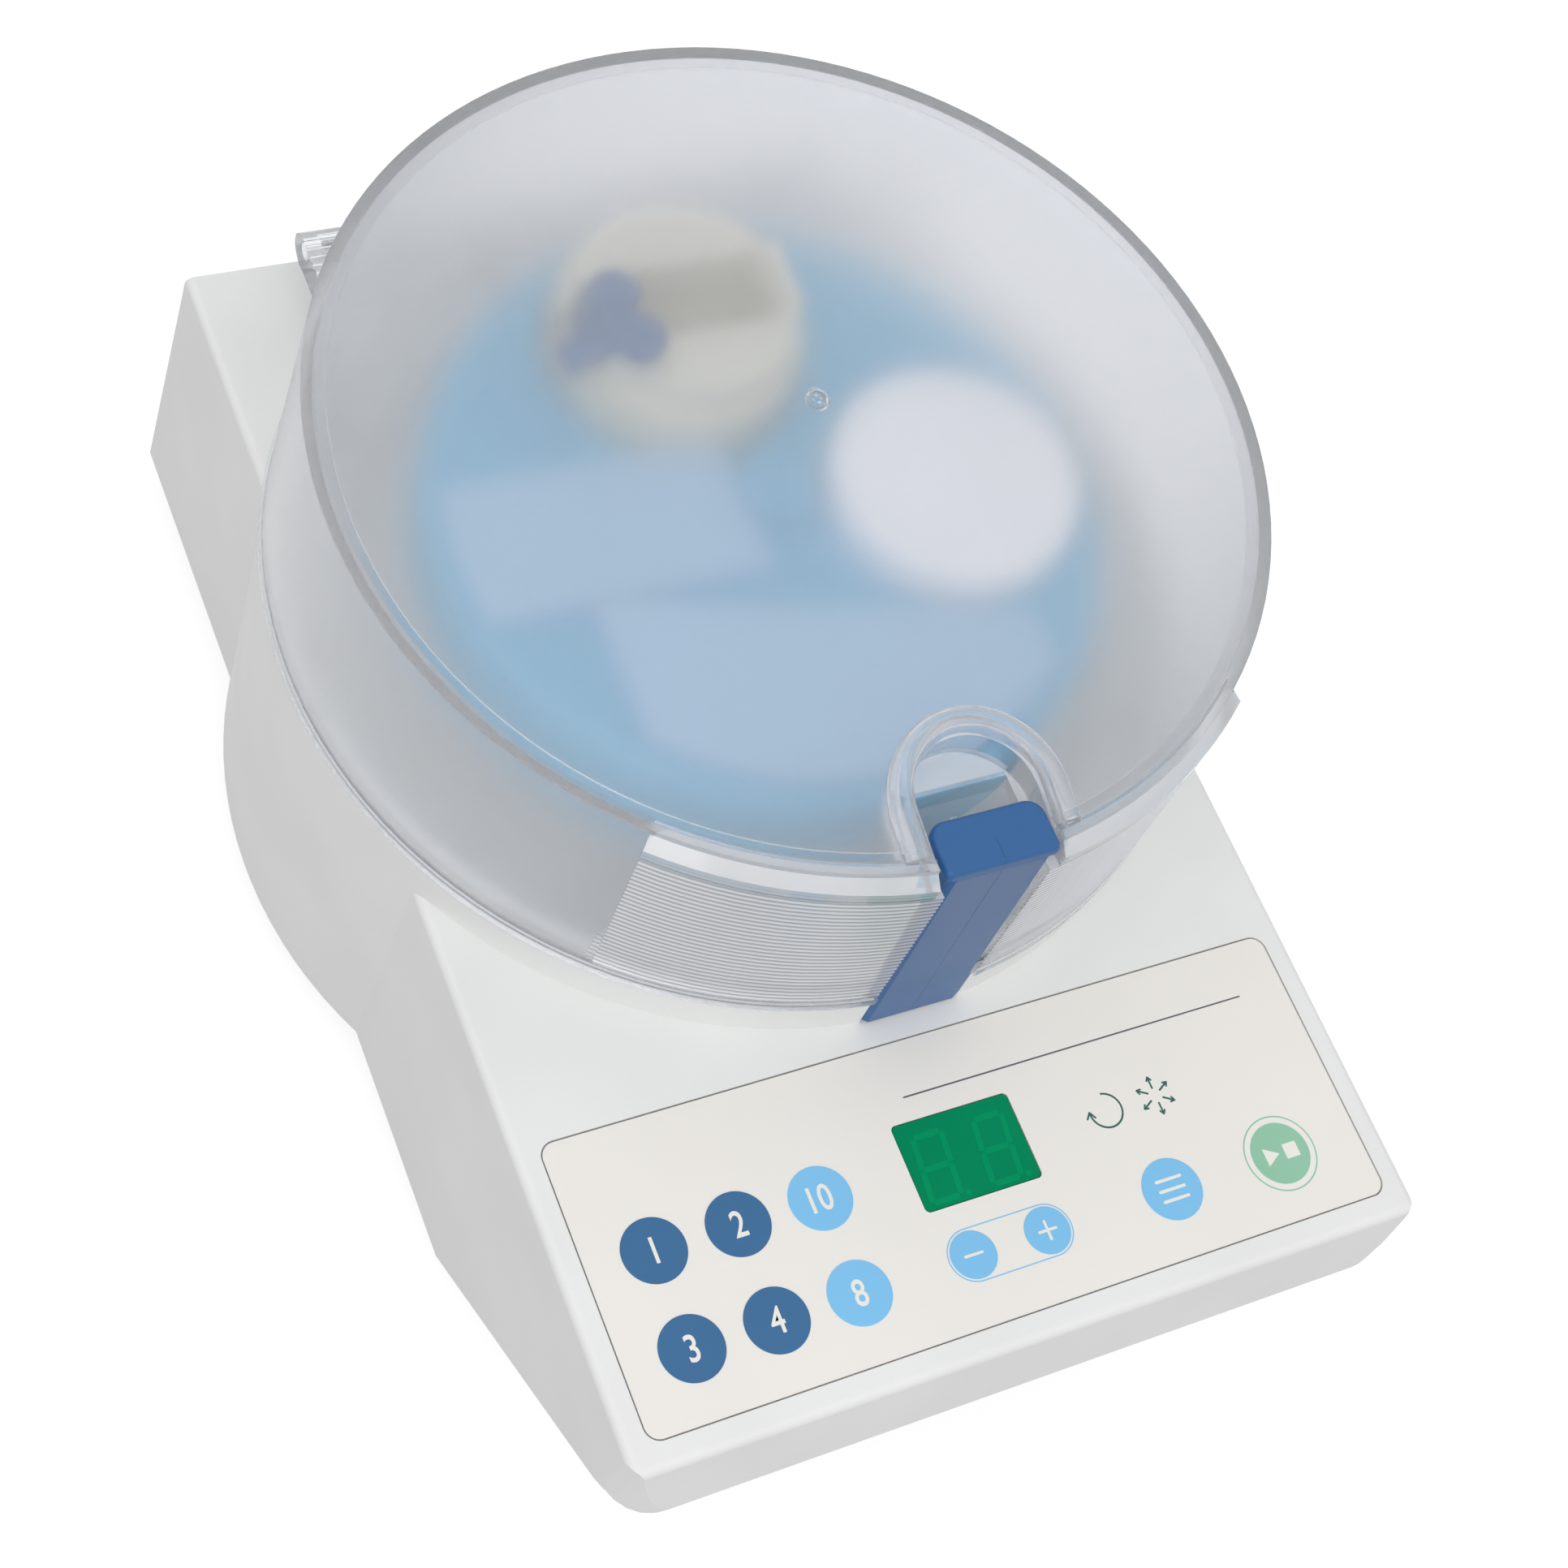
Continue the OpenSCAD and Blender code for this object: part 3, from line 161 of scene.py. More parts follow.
def reach(tree: NodeTree, centre_mm: tuple) -> NodeSocket:
    """Distance in millimetres from an upright axis.

    Args:
        tree: Node tree that takes the nodes.
        centre_mm: Place of the axis in X and Y.

    Returns:
        The distance.
    """
    where = add_node(tree, "TexCoord", output="Object")
    back = (-centre_mm[0], -centre_mm[1], 0)
    moved = add_node(tree, "VectorMath", where, (1 / MM, 1 / MM, 0), back, operation="MULTIPLY_ADD")
    return add_node(tree, "VectorMath", moved, output="Value", operation="LENGTH")


def inside_box(tree: NodeTree, low_mm: tuple, high_mm: tuple, edge_mm: float = 0.2) -> NodeSocket:
    """Mask that is one inside a box of the object's own coordinates.

    Args:
        tree: Node tree that takes the nodes.
        low_mm: Lower corner in millimetres.
        high_mm: Upper corner in millimetres.
        edge_mm: Width over which the mask fades out beyond the box.

    Returns:
        The mask.
    """
    where = add_node(tree, "TexCoord", output="Object")
    back = [-(low + high) / 2 for low, high in zip(low_mm, high_mm)]
    moved = add_node(tree, "VectorMath", where, (1 / MM, 1 / MM, 1 / MM), back, operation="MULTIPLY_ADD")
    mask = 1.0
    for axis, (low, high) in enumerate(zip(low_mm, high_mm)):
        half = (high - low) / 2
        along = add_node(tree, "SeparateXYZ", moved, output=axis)
        off = add_node(tree, "Math", along, operation="ABSOLUTE")
        side = add_node(tree, "MapRange", off, half + edge_mm, half)
        mask = add_node(tree, "Math", mask, side, operation="MULTIPLY")
    return mask


def seen_directly(tree: NodeTree) -> NodeSocket:
    """Mask of the rays that come from the camera, a reflection or a clear piece.

    Args:
        tree: Node tree that takes the nodes.

    Returns:
        One for such a ray.
    """
    seen = add_node(tree, "LightPath", output="Is Camera Ray")
    for other in ("Is Glossy Ray", "Is Transmission Ray"):
        ray = add_node(tree, "LightPath", output=other)
        seen = add_node(tree, "Math", seen, ray, operation="MAXIMUM")
    return seen


def let_light_through(tree: NodeTree, shader: NodeSocket, tint: str = "#FAFBFC") -> None:
    """Close a clear material so that its shadow lets the light through.

    Args:
        tree: Node tree that takes the nodes.
        shader: Shader that the surface shows.
        tint: Hex colour of the light that passes.
    """
    clear = add_node(tree, "BsdfTransparent", linear(tint))
    shadow = add_node(tree, "LightPath", output="Is Shadow Ray")
    mixed = add_node(tree, "MixShader", shadow, shader, clear)
    add_node(tree, "OutputMaterial", mixed, output=None)


@dataclass(frozen=True)
class Finish:
    """Moulded plastic with a spark-eroded grain: an even, soft satin with faint tone changes.

    The real grain is about 0.05 mm wide and too fine to show, so it is drawn ten times as coarse.
    """

    name: str
    colour: str
    roughness: float = 0.45
    ior: float = 1.53
    grain_mm: float = 0.55
    depth_mm: float = 0.006
    tone: float = 0.02
    wander: float = 0.04
    broad_mm: float = 28

    def build(self) -> Material:
        """Make the material.

        Returns:
            The material, with its nodes laid.
        """
        material = bpy.data.materials.new(self.name)
        material.use_nodes = True
        material.node_tree.nodes.clear()
        self.lay_nodes(material.node_tree)
        return material

    def uneven(self, tree: NodeTree, noise: NodeSocket) -> NodeSocket:
        """Roughness that wanders with a noise value.

        Args:
            tree: Node tree that takes the node.
            noise: The noise value.

        Returns:
            The roughness.
        """
        low, high = self.roughness - self.wander, self.roughness + self.wander
        return add_node(tree, "MapRange", noise, *NOISE_RANGE, low, high)

    def lay_nodes(self, tree: NodeTree) -> None:
        """Lay the nodes of a plain moulding.

        Args:
            tree: Empty node tree of the material.
        """
        fine = grain(tree, self.grain_mm)
        broad = add_node(tree, "MapRange", grain(tree, self.broad_mm, detail=1), *NOISE_RANGE)
        tones = {6: linear(self.colour, 1 - self.tone), 7: linear(self.colour, 1 + self.tone)}
        shader = {
            "Base Color": add_node(tree, "Mix", broad, inputs=tones, output=2, data_type="RGBA"),
            "IOR": self.ior,
            "Roughness": self.uneven(tree, fine),
            "Normal": add_node(tree, "Bump", inputs={"Height": fine, "Distance": self.depth_mm * MM}),
        }
        surface = add_node(tree, "BsdfPrincipled", inputs=shader)
        add_node(tree, "OutputMaterial", surface, output=None)


@dataclass(frozen=True)
class TurnedMetal(Finish):
    """Turned or drawn metal: fine marks along one axis that stretch the highlight."""

    wander: float = 0.08
    marks: tuple = (1, 1, 0.05)
    dark_mark: float = 0.9
    light_mark: float = 1.06

    def lay_nodes(self, tree: NodeTree) -> None:
        """Lay the nodes of a metal.

        Args:
            tree: Empty node tree of the material.
        """
        fine = grain(tree, self.grain_mm, detail=3, stretch=self.marks)
        share = add_node(tree, "MapRange", fine, *NOISE_RANGE)
        tones = {6: linear(self.colour, self.dark_mark), 7: linear(self.colour, self.light_mark)}
        shader = {
            "Metallic": 1.0,
            "Base Color": add_node(tree, "Mix", share, inputs=tones, output=2, data_type="RGBA"),
            "Roughness": self.uneven(tree, fine),
            "Normal": add_node(tree, "Bump", inputs={"Height": fine, "Distance": self.depth_mm * MM}),
        }
        surface = add_node(tree, "BsdfPrincipled", inputs=shader)
        add_node(tree, "OutputMaterial", surface, output=None)


@dataclass(frozen=True)
class ClearSheet(Finish):
    """Polished clear plastic: sharp highlights and bent outlines, with the mould's faint waviness."""

    wander: float = 0.02
    passing: float = 0.92

    def lay_nodes(self, tree: NodeTree) -> None:
        """Lay the nodes of a clear moulding.

        Args:
            tree: Empty node tree of the material.
        """
        wave = grain(tree, self.grain_mm, detail=1)
        shader = {
            "Base Color": linear(self.colour),
            "IOR": self.ior,
            "Transmission Weight": self.passing,
            "Roughness": self.uneven(tree, wave),
            "Normal": add_node(tree, "Bump", inputs={"Height": wave, "Distance": self.depth_mm * MM}),
        }
        let_light_through(tree, add_node(tree, "BsdfPrincipled", inputs=shader))


@dataclass(frozen=True)
class FrostedSheet(Finish):
    """Frosted polycarbonate: light passes, and what lies behind blurs.

    The bead, the recess, the hinge block and the ribs are polished, and each groove between two ribs
    has painted shade: its colour is darkened where the rib above it shades it. Places and widths are in
    millimetres.
    """

    passing: float = 0.92
    polished: float = 0.1
    axis_mm: tuple = (0.0, 32.55)
    wall_radius: float = 102.7
    loop_mm: tuple = (0.0, -55.25)
    loop_radius: float = 18.9
    hollow_radius: float = 12.6
    top_levels: tuple = (135.0, 160.0)
    recess_depth: float = 30
    hinge_block: tuple = ((-70, 60, 70), (70, 160, 100))
    grip_ribs: tuple = ((-66, -80, 95), (66, -45, 142.2))
    grip_top: tuple = ((-66, -80, 141.6), (66, -45, 145.2))
    grip_radius: float = 101.4
    slope_radius: float = 97.9
    rib_pitch: float = 1.5
    rib_low: float = 94.3
    rib_high: float = 140.6
    rib_passing: float = 0.62
    groove_phase: float = 0.9
    groove_reach: tuple = (0.24, 0.08)
    # Share of the colour that is left in the painted shade of each groove.
    groove_shade_tone: float = 0.45
    pocket_floor: tuple = ((-13.6, -70, 137.5), (13.6, -38, 138.6))
    floor_passing: float = 0.42
    pocket_walls: tuple = ((-13.6, -66.5, 84), (13.6, -47, 136.2))
    slot_sides: tuple = ((-11.5, -72, 84), (11.5, -47, 140))
    pocket_thin: float = 0.85
    gate_radius: float = 2.0
    gate_height: float = 0.2

    def on_grip(self, tree: NodeTree) -> NodeSocket:
        """Mask of the ribbed grip and its sloped top.

        Args:
            tree: Node tree that takes the nodes.

        Returns:
            One on the grip.
        """
        away = reach(tree, self.axis_mm)
        masks = []
        for radius, zone in ((self.grip_radius, self.grip_ribs), (self.slope_radius, self.grip_top)):
            outside = add_node(tree, "MapRange", away, radius, radius + 0.2)
            masks.append(add_node(tree, "Math", outside, inside_box(tree, *zone), operation="MULTIPLY"))
        return add_node(tree, "Math", *masks, operation="MAXIMUM")

    def groove_shade_mask(self, tree: NodeTree) -> NodeSocket:
        """Mask of painted shade on the inner half of each rib's upper flank, where the ridge above shades
        it.

        Args:
            tree: Node tree that takes the nodes.

        Returns:
            One where the groove's shade is painted.
        """
        height = coordinate(tree, 2)
        above = add_node(tree, "Math", height, self.rib_low * MM, operation="SUBTRACT")
        ribs = add_node(tree, "Math", above, self.rib_pitch * MM, operation="DIVIDE")
        phase = add_node(tree, "Math", ribs, operation="FRACT")
        past = add_node(tree, "Math", phase, self.groove_phase, operation="SUBTRACT")
        away = add_node(tree, "Math", past, operation="ABSOLUTE")
        painted_groove_shade = add_node(tree, "MapRange", away, *self.groove_reach)
        below = add_node(tree, "MapRange", height, self.rib_high * MM, (self.rib_high - 0.2) * MM)
        return add_node(tree, "Math", painted_groove_shade, below, operation="MULTIPLY")

    def clear_zones(self, tree: NodeTree, grip: NodeSocket) -> NodeSocket:
        """Mask of the polished places: bead and recess, latch slot, hinge block, gate mark and grip.

        Args:
            tree: Node tree that takes the nodes.
            grip: Mask of the grip.

        Returns:
            One where the surface is polished.
        """
        wide, hollow = self.loop_radius, self.hollow_radius
        front = self.loop_mm[1]
        low, high = self.top_levels
        away, off_axis = reach(tree, self.loop_mm), reach(tree, self.axis_mm)
        corner = (-wide, front - self.recess_depth, low)
        disc_mask = add_node(tree, "MapRange", away, wide + 0.3, wide)
        hollow_mask = add_node(tree, "MapRange", away, hollow, hollow + 1)
        ring = add_node(tree, "Math", disc_mask, hollow_mask, operation="MULTIPLY")
        near_top = inside_box(tree, corner, (wide, 0, high))
        loop = add_node(tree, "Math", ring, near_top, operation="MULTIPLY")
        slot = inside_box(tree, corner, (wide, front, high))
        behind = add_node(tree, "MapRange", off_axis, self.wall_radius, self.wall_radius + 0.2)
        hinge = add_node(tree, "Math", behind, inside_box(tree, *self.hinge_block), operation="MULTIPLY")
        gate = add_node(tree, "MapRange", off_axis, self.gate_radius + 0.5, self.gate_radius + 0.3)
        zones = loop
        for zone in (slot, hinge, gate, grip):
            zones = add_node(tree, "Math", zones, zone, operation="MAXIMUM")
        return zones

    def gate_mark(self, tree: NodeTree) -> NodeSocket:
        """Height of the small ring and dot that the mould's gate leaves in the middle of the dome.

        Args:
            tree: Node tree that takes the nodes.

        Returns:
            The height, from 0 to 1.
        """
        away = reach(tree, self.axis_mm)
        past = add_node(tree, "Math", away, self.gate_radius, operation="SUBTRACT")
        ring = add_node(tree, "MapRange", add_node(tree, "Math", past, operation="ABSOLUTE"), 0.45, 0)
        dot = add_node(tree, "MapRange", away, 0.9, 0.3)
        return add_node(tree, "Math", ring, dot, operation="MAXIMUM")

    def lay_nodes(self, tree: NodeTree) -> None:
        """Lay the nodes of the lid.

        Args:
            tree: Empty node tree of the material.
        """
        fine = grain(tree, self.grain_mm, detail=1)
        grip = self.on_grip(tree)
        frosted = add_node(tree, "Math", 1.0, self.clear_zones(tree, grip), operation="SUBTRACT")
        height = add_node(tree, "Math", fine, frosted, operation="MULTIPLY")
        frost = add_node(tree, "Bump", inputs={"Height": height, "Distance": self.depth_mm * MM})
        gate = {"Height": self.gate_mark(tree), "Distance": self.gate_height * MM, "Normal": frost}
        # Painted shade: the grip's colour darkens in the shaded part of each groove.
        painted_groove_shade = add_node(tree, "Math", grip, self.groove_shade_mask(tree), operation="MULTIPLY")
        tones = {6: linear(self.colour), 7: linear(self.colour, self.groove_shade_tone)}
        floor = inside_box(tree, *self.pocket_floor)
        ribs_pass = add_node(tree, "MapRange", grip, 0, 1, self.passing, self.rib_passing)
        floor_pass = add_node(tree, "MapRange", floor, 0, 1, self.passing, self.floor_passing)
        shader = {
            "IOR": self.ior,
            "Base Color": add_node(tree, "Mix", painted_groove_shade, inputs=tones, output=2, data_type="RGBA"),
            "Transmission Weight": add_node(tree, "Math", ribs_pass, floor_pass, operation="MINIMUM"),
            "Roughness": add_node(tree, "MapRange", frosted, 0, 1, self.polished, self.roughness),
            "Normal": add_node(tree, "Bump", inputs=gate),
        }
        surface = add_node(tree, "BsdfPrincipled", inputs=shader)
        nothing = add_node(tree, "BsdfTransparent", linear("#FFFFFF"))
        walls = inside_box(tree, *self.pocket_walls)
        sides = inside_box(tree, *self.slot_sides, edge_mm=0.05)
        pocket = add_node(tree, "Math", walls, sides, operation="MAXIMUM")
        thin = add_node(tree, "Math", pocket, self.pocket_thin, operation="MULTIPLY")
        let_light_through(tree, add_node(tree, "MixShader", thin, surface, nothing))


@dataclass(frozen=True)
class LatchNylon(Finish):
    """Moulded nylon: the cap's top is grained, the bar is smooth, and a parting line runs down it."""

    smooth: float = 0.24
    cap_zone: tuple = ((-20, -80, 142.2), (20, -40, 150))
    front_zone: tuple = ((-20, -80, 60), (20, -62.4, 150))
    line_width: float = 0.09
    line_height: float = 0.05
    line_tone: float = 0.6

    def lay_nodes(self, tree: NodeTree) -> None:
        """Lay the nodes of the latch.

        Args:
            tree: Empty node tree of the material.
        """
        fine = grain(tree, self.grain_mm)
        cap = inside_box(tree, *self.cap_zone, edge_mm=0.6)
        front = inside_box(tree, *self.front_zone, edge_mm=0.4)
        across = add_node(tree, "Math", coordinate(tree, 0), operation="ABSOLUTE")
        middle = add_node(tree, "MapRange", across, self.line_width * MM, 0)
        line = add_node(tree, "Math", middle, front, operation="MULTIPLY")
        height = add_node(tree, "Math", fine, cap, operation="MULTIPLY")
        grained = add_node(tree, "Bump", inputs={"Height": height, "Distance": self.depth_mm * MM})
        seam = {"Height": line, "Distance": self.line_height * MM, "Normal": grained}
        tones = {6: linear(self.colour), 7: linear(self.colour, self.line_tone)}
        shader = {
            "IOR": self.ior,
            "Base Color": add_node(tree, "Mix", line, inputs=tones, output=2, data_type="RGBA"),
            "Roughness": add_node(tree, "MapRange", cap, 0, 1, self.smooth, self.roughness),
            "Normal": add_node(tree, "Bump", inputs=seam),
        }
        surface = add_node(tree, "BsdfPrincipled", inputs=shader)
        add_node(tree, "OutputMaterial", surface, output=None)


@dataclass(frozen=True)
class PaperFloor(Finish):
    """Roll of pale paper: dull and even, white where it is seen directly, and clear from below."""

    lift: float = 0.78

    def lay_nodes(self, tree: NodeTree) -> None:
        """Lay the nodes of the floor.

        Args:
            tree: Empty node tree of the material.
        """
        paper = add_node(tree, "BsdfDiffuse", linear(self.colour))
        lift = add_node(tree, "Math", seen_directly(tree), self.lift, operation="MULTIPLY")
        light = add_node(tree, "Emission", linear("#FFFFFF"), lift)
        both = add_node(tree, "AddShader", paper, light)
        clear = add_node(tree, "BsdfTransparent", linear("#FFFFFF"))
        below = add_node(tree, "NewGeometry", output="Backfacing")
        add_node(tree, "OutputMaterial", add_node(tree, "MixShader", below, both, clear), output=None)


FINISHES = {
    # Bright neutral white with an even satin.
    "housing": Finish("moulded_abs_white", "#E9EAE9"),
    # Warm off-white sheet, flat and nearly without gloss.
    "film": Finish("printed_polyester_cream", "#EDEAE4", 0.5, 1.58, 0.4, 0.003, 0.008),
    # Deep green with a dull sheen, its IOR lowered because the real window hardly reflects.
    "window": Finish("tinted_acrylic_green", "#008759", 0.3, 1.12, 2.0, 0.001, 0.05),
    # Milky sheet with clear ribs, bead and recess, and painted shade in the grooves between the ribs.
    "lid": FrostedSheet("frosted_polycarbonate", "#F4F5F8", 0.26, 1.586, 0.4, 0.004, 0.0),
    # Clear bead, its IOR lowered because the real one is one with the lid and bends the light once.
    "clear": ClearSheet("polished_polycarbonate", "#F4F5F8", 0.17, 1.3, 2.5, 0.0, 0.0),
    # Strong blue, grained on top and glossier on the bar.
    "latch": LatchNylon("moulded_nylon_blue", "#1F5C97", 0.4, 1.53, 0.5, 0.02, 0.04),
    # Clear mid blue with a satin that catches the sky.
    "rotor": Finish("moulded_abs_blue", "#4FA9D0", 0.42),
    # Paler blue that sets the raised plates off.
    "plate": Finish("moulded_abs_pale_blue", "#93BEDD", 0.45),
    # Cool white, a little glossier than the housing.
    "cap": Finish("moulded_pom_white", "#F4F4F8", 0.4),
    # Dull ivory, the warmest tone under the lid.
    "holder": Finish("moulded_pom_ivory", "#D8D5C6", 0.45),
    # Dark saturated blue that stays the darkest place under the frost.
    "clamp": Finish("moulded_nylon_navy", "#00568F", 0.38),
    # Near black and dull, with a soft uneven skin.
    "rubber": Finish("moulded_nitrile_rubber", "#2A2B2D", 0.7, 1.5, 0.4, 0.01, 0.05),
    # Bright grey with fine turning marks.
    "steel": TurnedMetal("turned_stainless_steel", "#B9BCC0", 0.3, grain_mm=0.5, depth_mm=0.002),
    # Darker grey, nearly a mirror.
    "bearing": TurnedMetal("ground_bearing_steel", "#A7ABB0", 0.2, grain_mm=0.4, depth_mm=0.001),
    # Dark, rough and grainy.
    "iron": TurnedMetal("cast_iron_weight", "#4B4D50", 0.55, grain_mm=0.8, depth_mm=0.02),
    # Pale silver with a broad highlight.
    "aluminium": TurnedMetal("turned_aluminium", "#C9CCCF", 0.32, grain_mm=0.5, depth_mm=0.002),
    # Dark grey with the orange-peel skin of powder.
    "motor": Finish("powder_coated_motor", "#4A4D52", 0.5, 1.5, 0.8, 0.02, 0.05),
    # Warm orange-brown with the ridges of the wire.
    "copper": TurnedMetal("enamelled_copper_winding", "#B4672E", 0.35, grain_mm=0.6, depth_mm=0.02),
    # Yellow metal with long drawing marks.
    "brass": TurnedMetal("drawn_brass_pin", "#C9A35A", 0.28, grain_mm=0.4, depth_mm=0.001),
    # Green lacquer over a mottled weave.
    "board": Finish("solder_masked_board", "#1F6A41", 0.35, 1.5, 1.2, 0.004, 0.1),
    # Flat grey sheet.
    "membrane": Finish("polyester_membrane", "#B9BBB9", 0.5, 1.6, 0.6, 0.002, 0.02),
    # Dark blue sleeve with a waxy sheen.
    "component": Finish("sleeved_capacitor_navy", "#20305A", 0.4, 1.5, 0.8, 0.004, 0.05),
    # Black with a grey satin on its edges.
    "black": Finish("moulded_nylon_black", "#1C1D1F", 0.42, 1.53, 0.5, 0.01, 0.05),
    # Unlit bars a shade lighter than the window, with its low IOR.
    "segment": Finish("unlit_segment_green", "#00935F", 0.3, 1.12, 0.6, 0.001, 0.03),
}
# Screen inks: flat, opaque and dull, each with its name, colour and change of tone.
for ink, ink_colour, ink_tone in (
    ("navy", "#2F6796", 0.02),
    ("sky", "#7CC2EE", 0.02),
    ("mint", "#8FC5A8", 0.02),
    ("cream", "#EDEBE4", 0.01),
    ("green", "#1D5F55", 0.03),
    ("grey", "#5A5A66", 0.02),
):
    FINISHES["ink_" + ink] = Finish("screen_ink_" + ink, ink_colour, 0.5, 1.5, 0.4, 0.001, ink_tone)

DRESSED = {
    "housing": ("housing_shell", "base_pan", "chamber_tub", "hinge_brackets"),
    "rubber": ("rubber_feet", "lid_gasket", "motor_isolators", "drive_belt"),
    "steel": (
        "base_screws",
        "snap_domes",
        "board_screws",
        "tub_screws",
        "motor_screws",
        "hinge_pin",
        "latch_keeper",
        "latch_pin",
        "latch_spring",
        "lock_bolt",
        "motor_shaft",
        "planet_shaft",
        "clamp_pin",
    ),
    "film": ("control_film",),
    "membrane": ("keypad_membrane",),
    "window": ("display_window",),
    "black": (
        "display_module",
        "lid_switch",
        "power_inlet",
        "switch_frame",
        "power_rocker",
        "fuse_drawer",
    ),
    "board": ("control_board", "power_board"),
    "motor": ("drive_motor",),
    "aluminium": ("motor_plate", "sun_pulley", "carrier_plate", "planet_pulley"),
    "bearing": ("shaft_bearing", "planet_bearing"),
    "copper": ("lock_solenoid",),
    "brass": ("inlet_pins",),
    "component": ("power_parts",),
    "iron": ("mains_transformer", "counterweight"),
    "lid": ("lid_shell",),
    "latch": ("latch_lever",),
    "rotor": ("rotor_cover", "hub_nut"),
    "plate": ("balance_plates",),
    "cap": ("counterweight_cap",),
    "holder": ("capsule_holder",),
    "clamp": ("clamp_lever",),
}


class FinishShop:
    """Builds each finish once and hands it out."""

    def __init__(self) -> None:
        """Start with no finish built."""
        self.made: dict[str, Material] = {}

    def get(self, key: str) -> Material:
        """Return the material of a finish, and build it the first time.

        Args:
            key: Name of the finish.

        Returns:
            The material.
        """
        if key not in self.made:
            self.made[key] = FINISHES[key].build()
        return self.made[key]

    def dress_nodes(self) -> None:
        """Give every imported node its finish."""
        for key, names in DRESSED.items():
            for name in names:
                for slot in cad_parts[name].material_slots:
                    slot.material = self.get(key)
                LOG.info("%s dressed as %s", name, key)


def free() -> None:
    """Deselect everything before a new piece is added."""
    bpy.ops.object.select_all(action="DESELECT")


@contextmanager
def editing(piece: Object) -> Iterator[bmesh.types.BMesh]:
    """Open a piece in edit mode with nothing selected, and close it again.

    Args:
        piece: Mesh object to edit.

    Yields:
        The mesh in edit mode.
    """
    free()
    piece.select_set(True)
    bpy.context.view_layer.objects.active = piece
    bpy.ops.object.mode_set(mode="EDIT")
    bpy.ops.mesh.select_mode(type="FACE")
    bpy.ops.mesh.select_all(action="DESELECT")
    yield bmesh.from_edit_mesh(piece.data)
    bpy.ops.object.mode_set(mode="OBJECT")


def pick(mesh: bmesh.types.BMesh, parts: str, wanted: Callable = bool) -> None:
    """Select the edges or vertices that pass a test, and nothing else.

    Args:
        mesh: Mesh in edit mode.
        parts: One of edges and verts.
        wanted: Test that takes one edge or vertex, and passes them all unless it is given.
    """
    for part in mesh.verts:
        part.select = False
    mesh.select_flush(False)
    kind = {"edges": "EDGE", "verts": "VERT"}[parts]
    bpy.ops.mesh.select_mode(type=kind)
    mesh.select_mode = {kind}
    for part in getattr(mesh, parts):
        part.select = bool(wanted(part))
    mesh.select_flush_mode()


def pull_apart(mesh: bmesh.types.BMesh, half: float, middle: float = 0.0) -> None:
    """Move the two halves of an outline away from each other along X.

    Args:
        mesh: Mesh in edit mode.
        half: Way that each half goes, in metres.
        middle: Where the halves meet.
    """
    pick(mesh, "verts", lambda vert: vert.co.x > middle + NEAR)
    bpy.ops.transform.translate(value=(half, 0, 0))
    pick(mesh, "verts", lambda vert: vert.co.x <= middle + NEAR)
    bpy.ops.transform.translate(value=(-half, 0, 0))


def claim(name: str) -> Object:
    """Name the new primitive and bake its place into its mesh.

    Args:
        name: Name of the piece.

    Returns:
        The piece.
    """
    piece = bpy.context.object
    piece.name = name
    piece.data.name = name
    bpy.ops.object.transform_apply(location=True, rotation=True, scale=True)
    return piece


def join(pieces: Sequence[Object], name: str) -> Object:
    """Join several pieces into one.

    Args:
        pieces: Mesh objects.
        name: Name of the joined piece.

    Returns:
        The joined piece.
    """
    free()
    for piece in pieces:
        piece.select_set(True)
    bpy.context.view_layer.objects.active = pieces[0]
    bpy.ops.object.join()
    pieces[0].name = name
    return pieces[0]


def copy_of(piece: Object, name: str, shift: Vector) -> Object:
    """Copy a piece with its own mesh to another place.

    Args:
        piece: Piece to copy.
        name: Name of the copy.
        shift: Way from the piece to the copy, in metres.

    Returns:
        The copy.
    """
    twin = piece.copy()
    twin.data = piece.data.copy()
    twin.name = name
    bpy.context.scene.collection.objects.link(twin)
    twin.data.transform(Matrix.Translation(shift))
    return twin


def dress(piece: Object, material: Material, body: Body) -> None:
    """Shade, paint and mount a finished piece.

    Args:
        piece: Finished mesh object.
        material: Its material.
        body: Body that it rides on.
    """
    piece.data.materials.clear()
    piece.data.materials.append(material)
    free()
    piece.select_set(True)
    bpy.context.view_layer.objects.active = piece
    bpy.ops.object.shade_smooth_by_angle(angle=math.radians(SMOOTH_ANGLE))
    bpy.ops.object.modifier_add(type="WEIGHTED_NORMAL")
    piece.modifiers[-1].keep_sharp = True
    bpy.ops.object.modifier_apply(modifier=piece.modifiers[-1].name)
    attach(piece, body.value)
    LOG.info("%s made, rides on %s", piece.name, body.value)


def thicken(piece: Object, height: float) -> None:
    """Raise a flat outline into a closed plate.

    Args:
        piece: Flat mesh in the XY plane.
        height: Thickness in metres, upwards.
    """
    with editing(piece):
        bpy.ops.mesh.select_all(action="SELECT")
        bpy.ops.mesh.extrude_region_move(TRANSFORM_OT_translate={"value": (0, 0, height)})
        bpy.ops.mesh.select_all(action="SELECT")
        bpy.ops.mesh.normals_make_consistent(inside=False)


def disc(name: str, radius: float, place: Vector, height: float, corners: int = 72) -> Object:
    """Flat round plate with a softened upper edge.

    Args:
        name: Name of the piece.
        radius: Radius in metres.
        place: Middle of its lower face.
        height: Thickness in metres.
        corners: Corners of the outline.

    Returns:
        The piece.
    """
    free()
    middle = place + Vector((0, 0, height / 2))
    bpy.ops.mesh.primitive_cylinder_add(vertices=corners, radius=radius, depth=height, location=middle)
    piece = claim(name)
    top = place.z + height * 0.9
    round_edges(piece, lambda edge: all(v.co.z > top for v in edge.verts), height * 0.45 / MM, 2)
    return piece


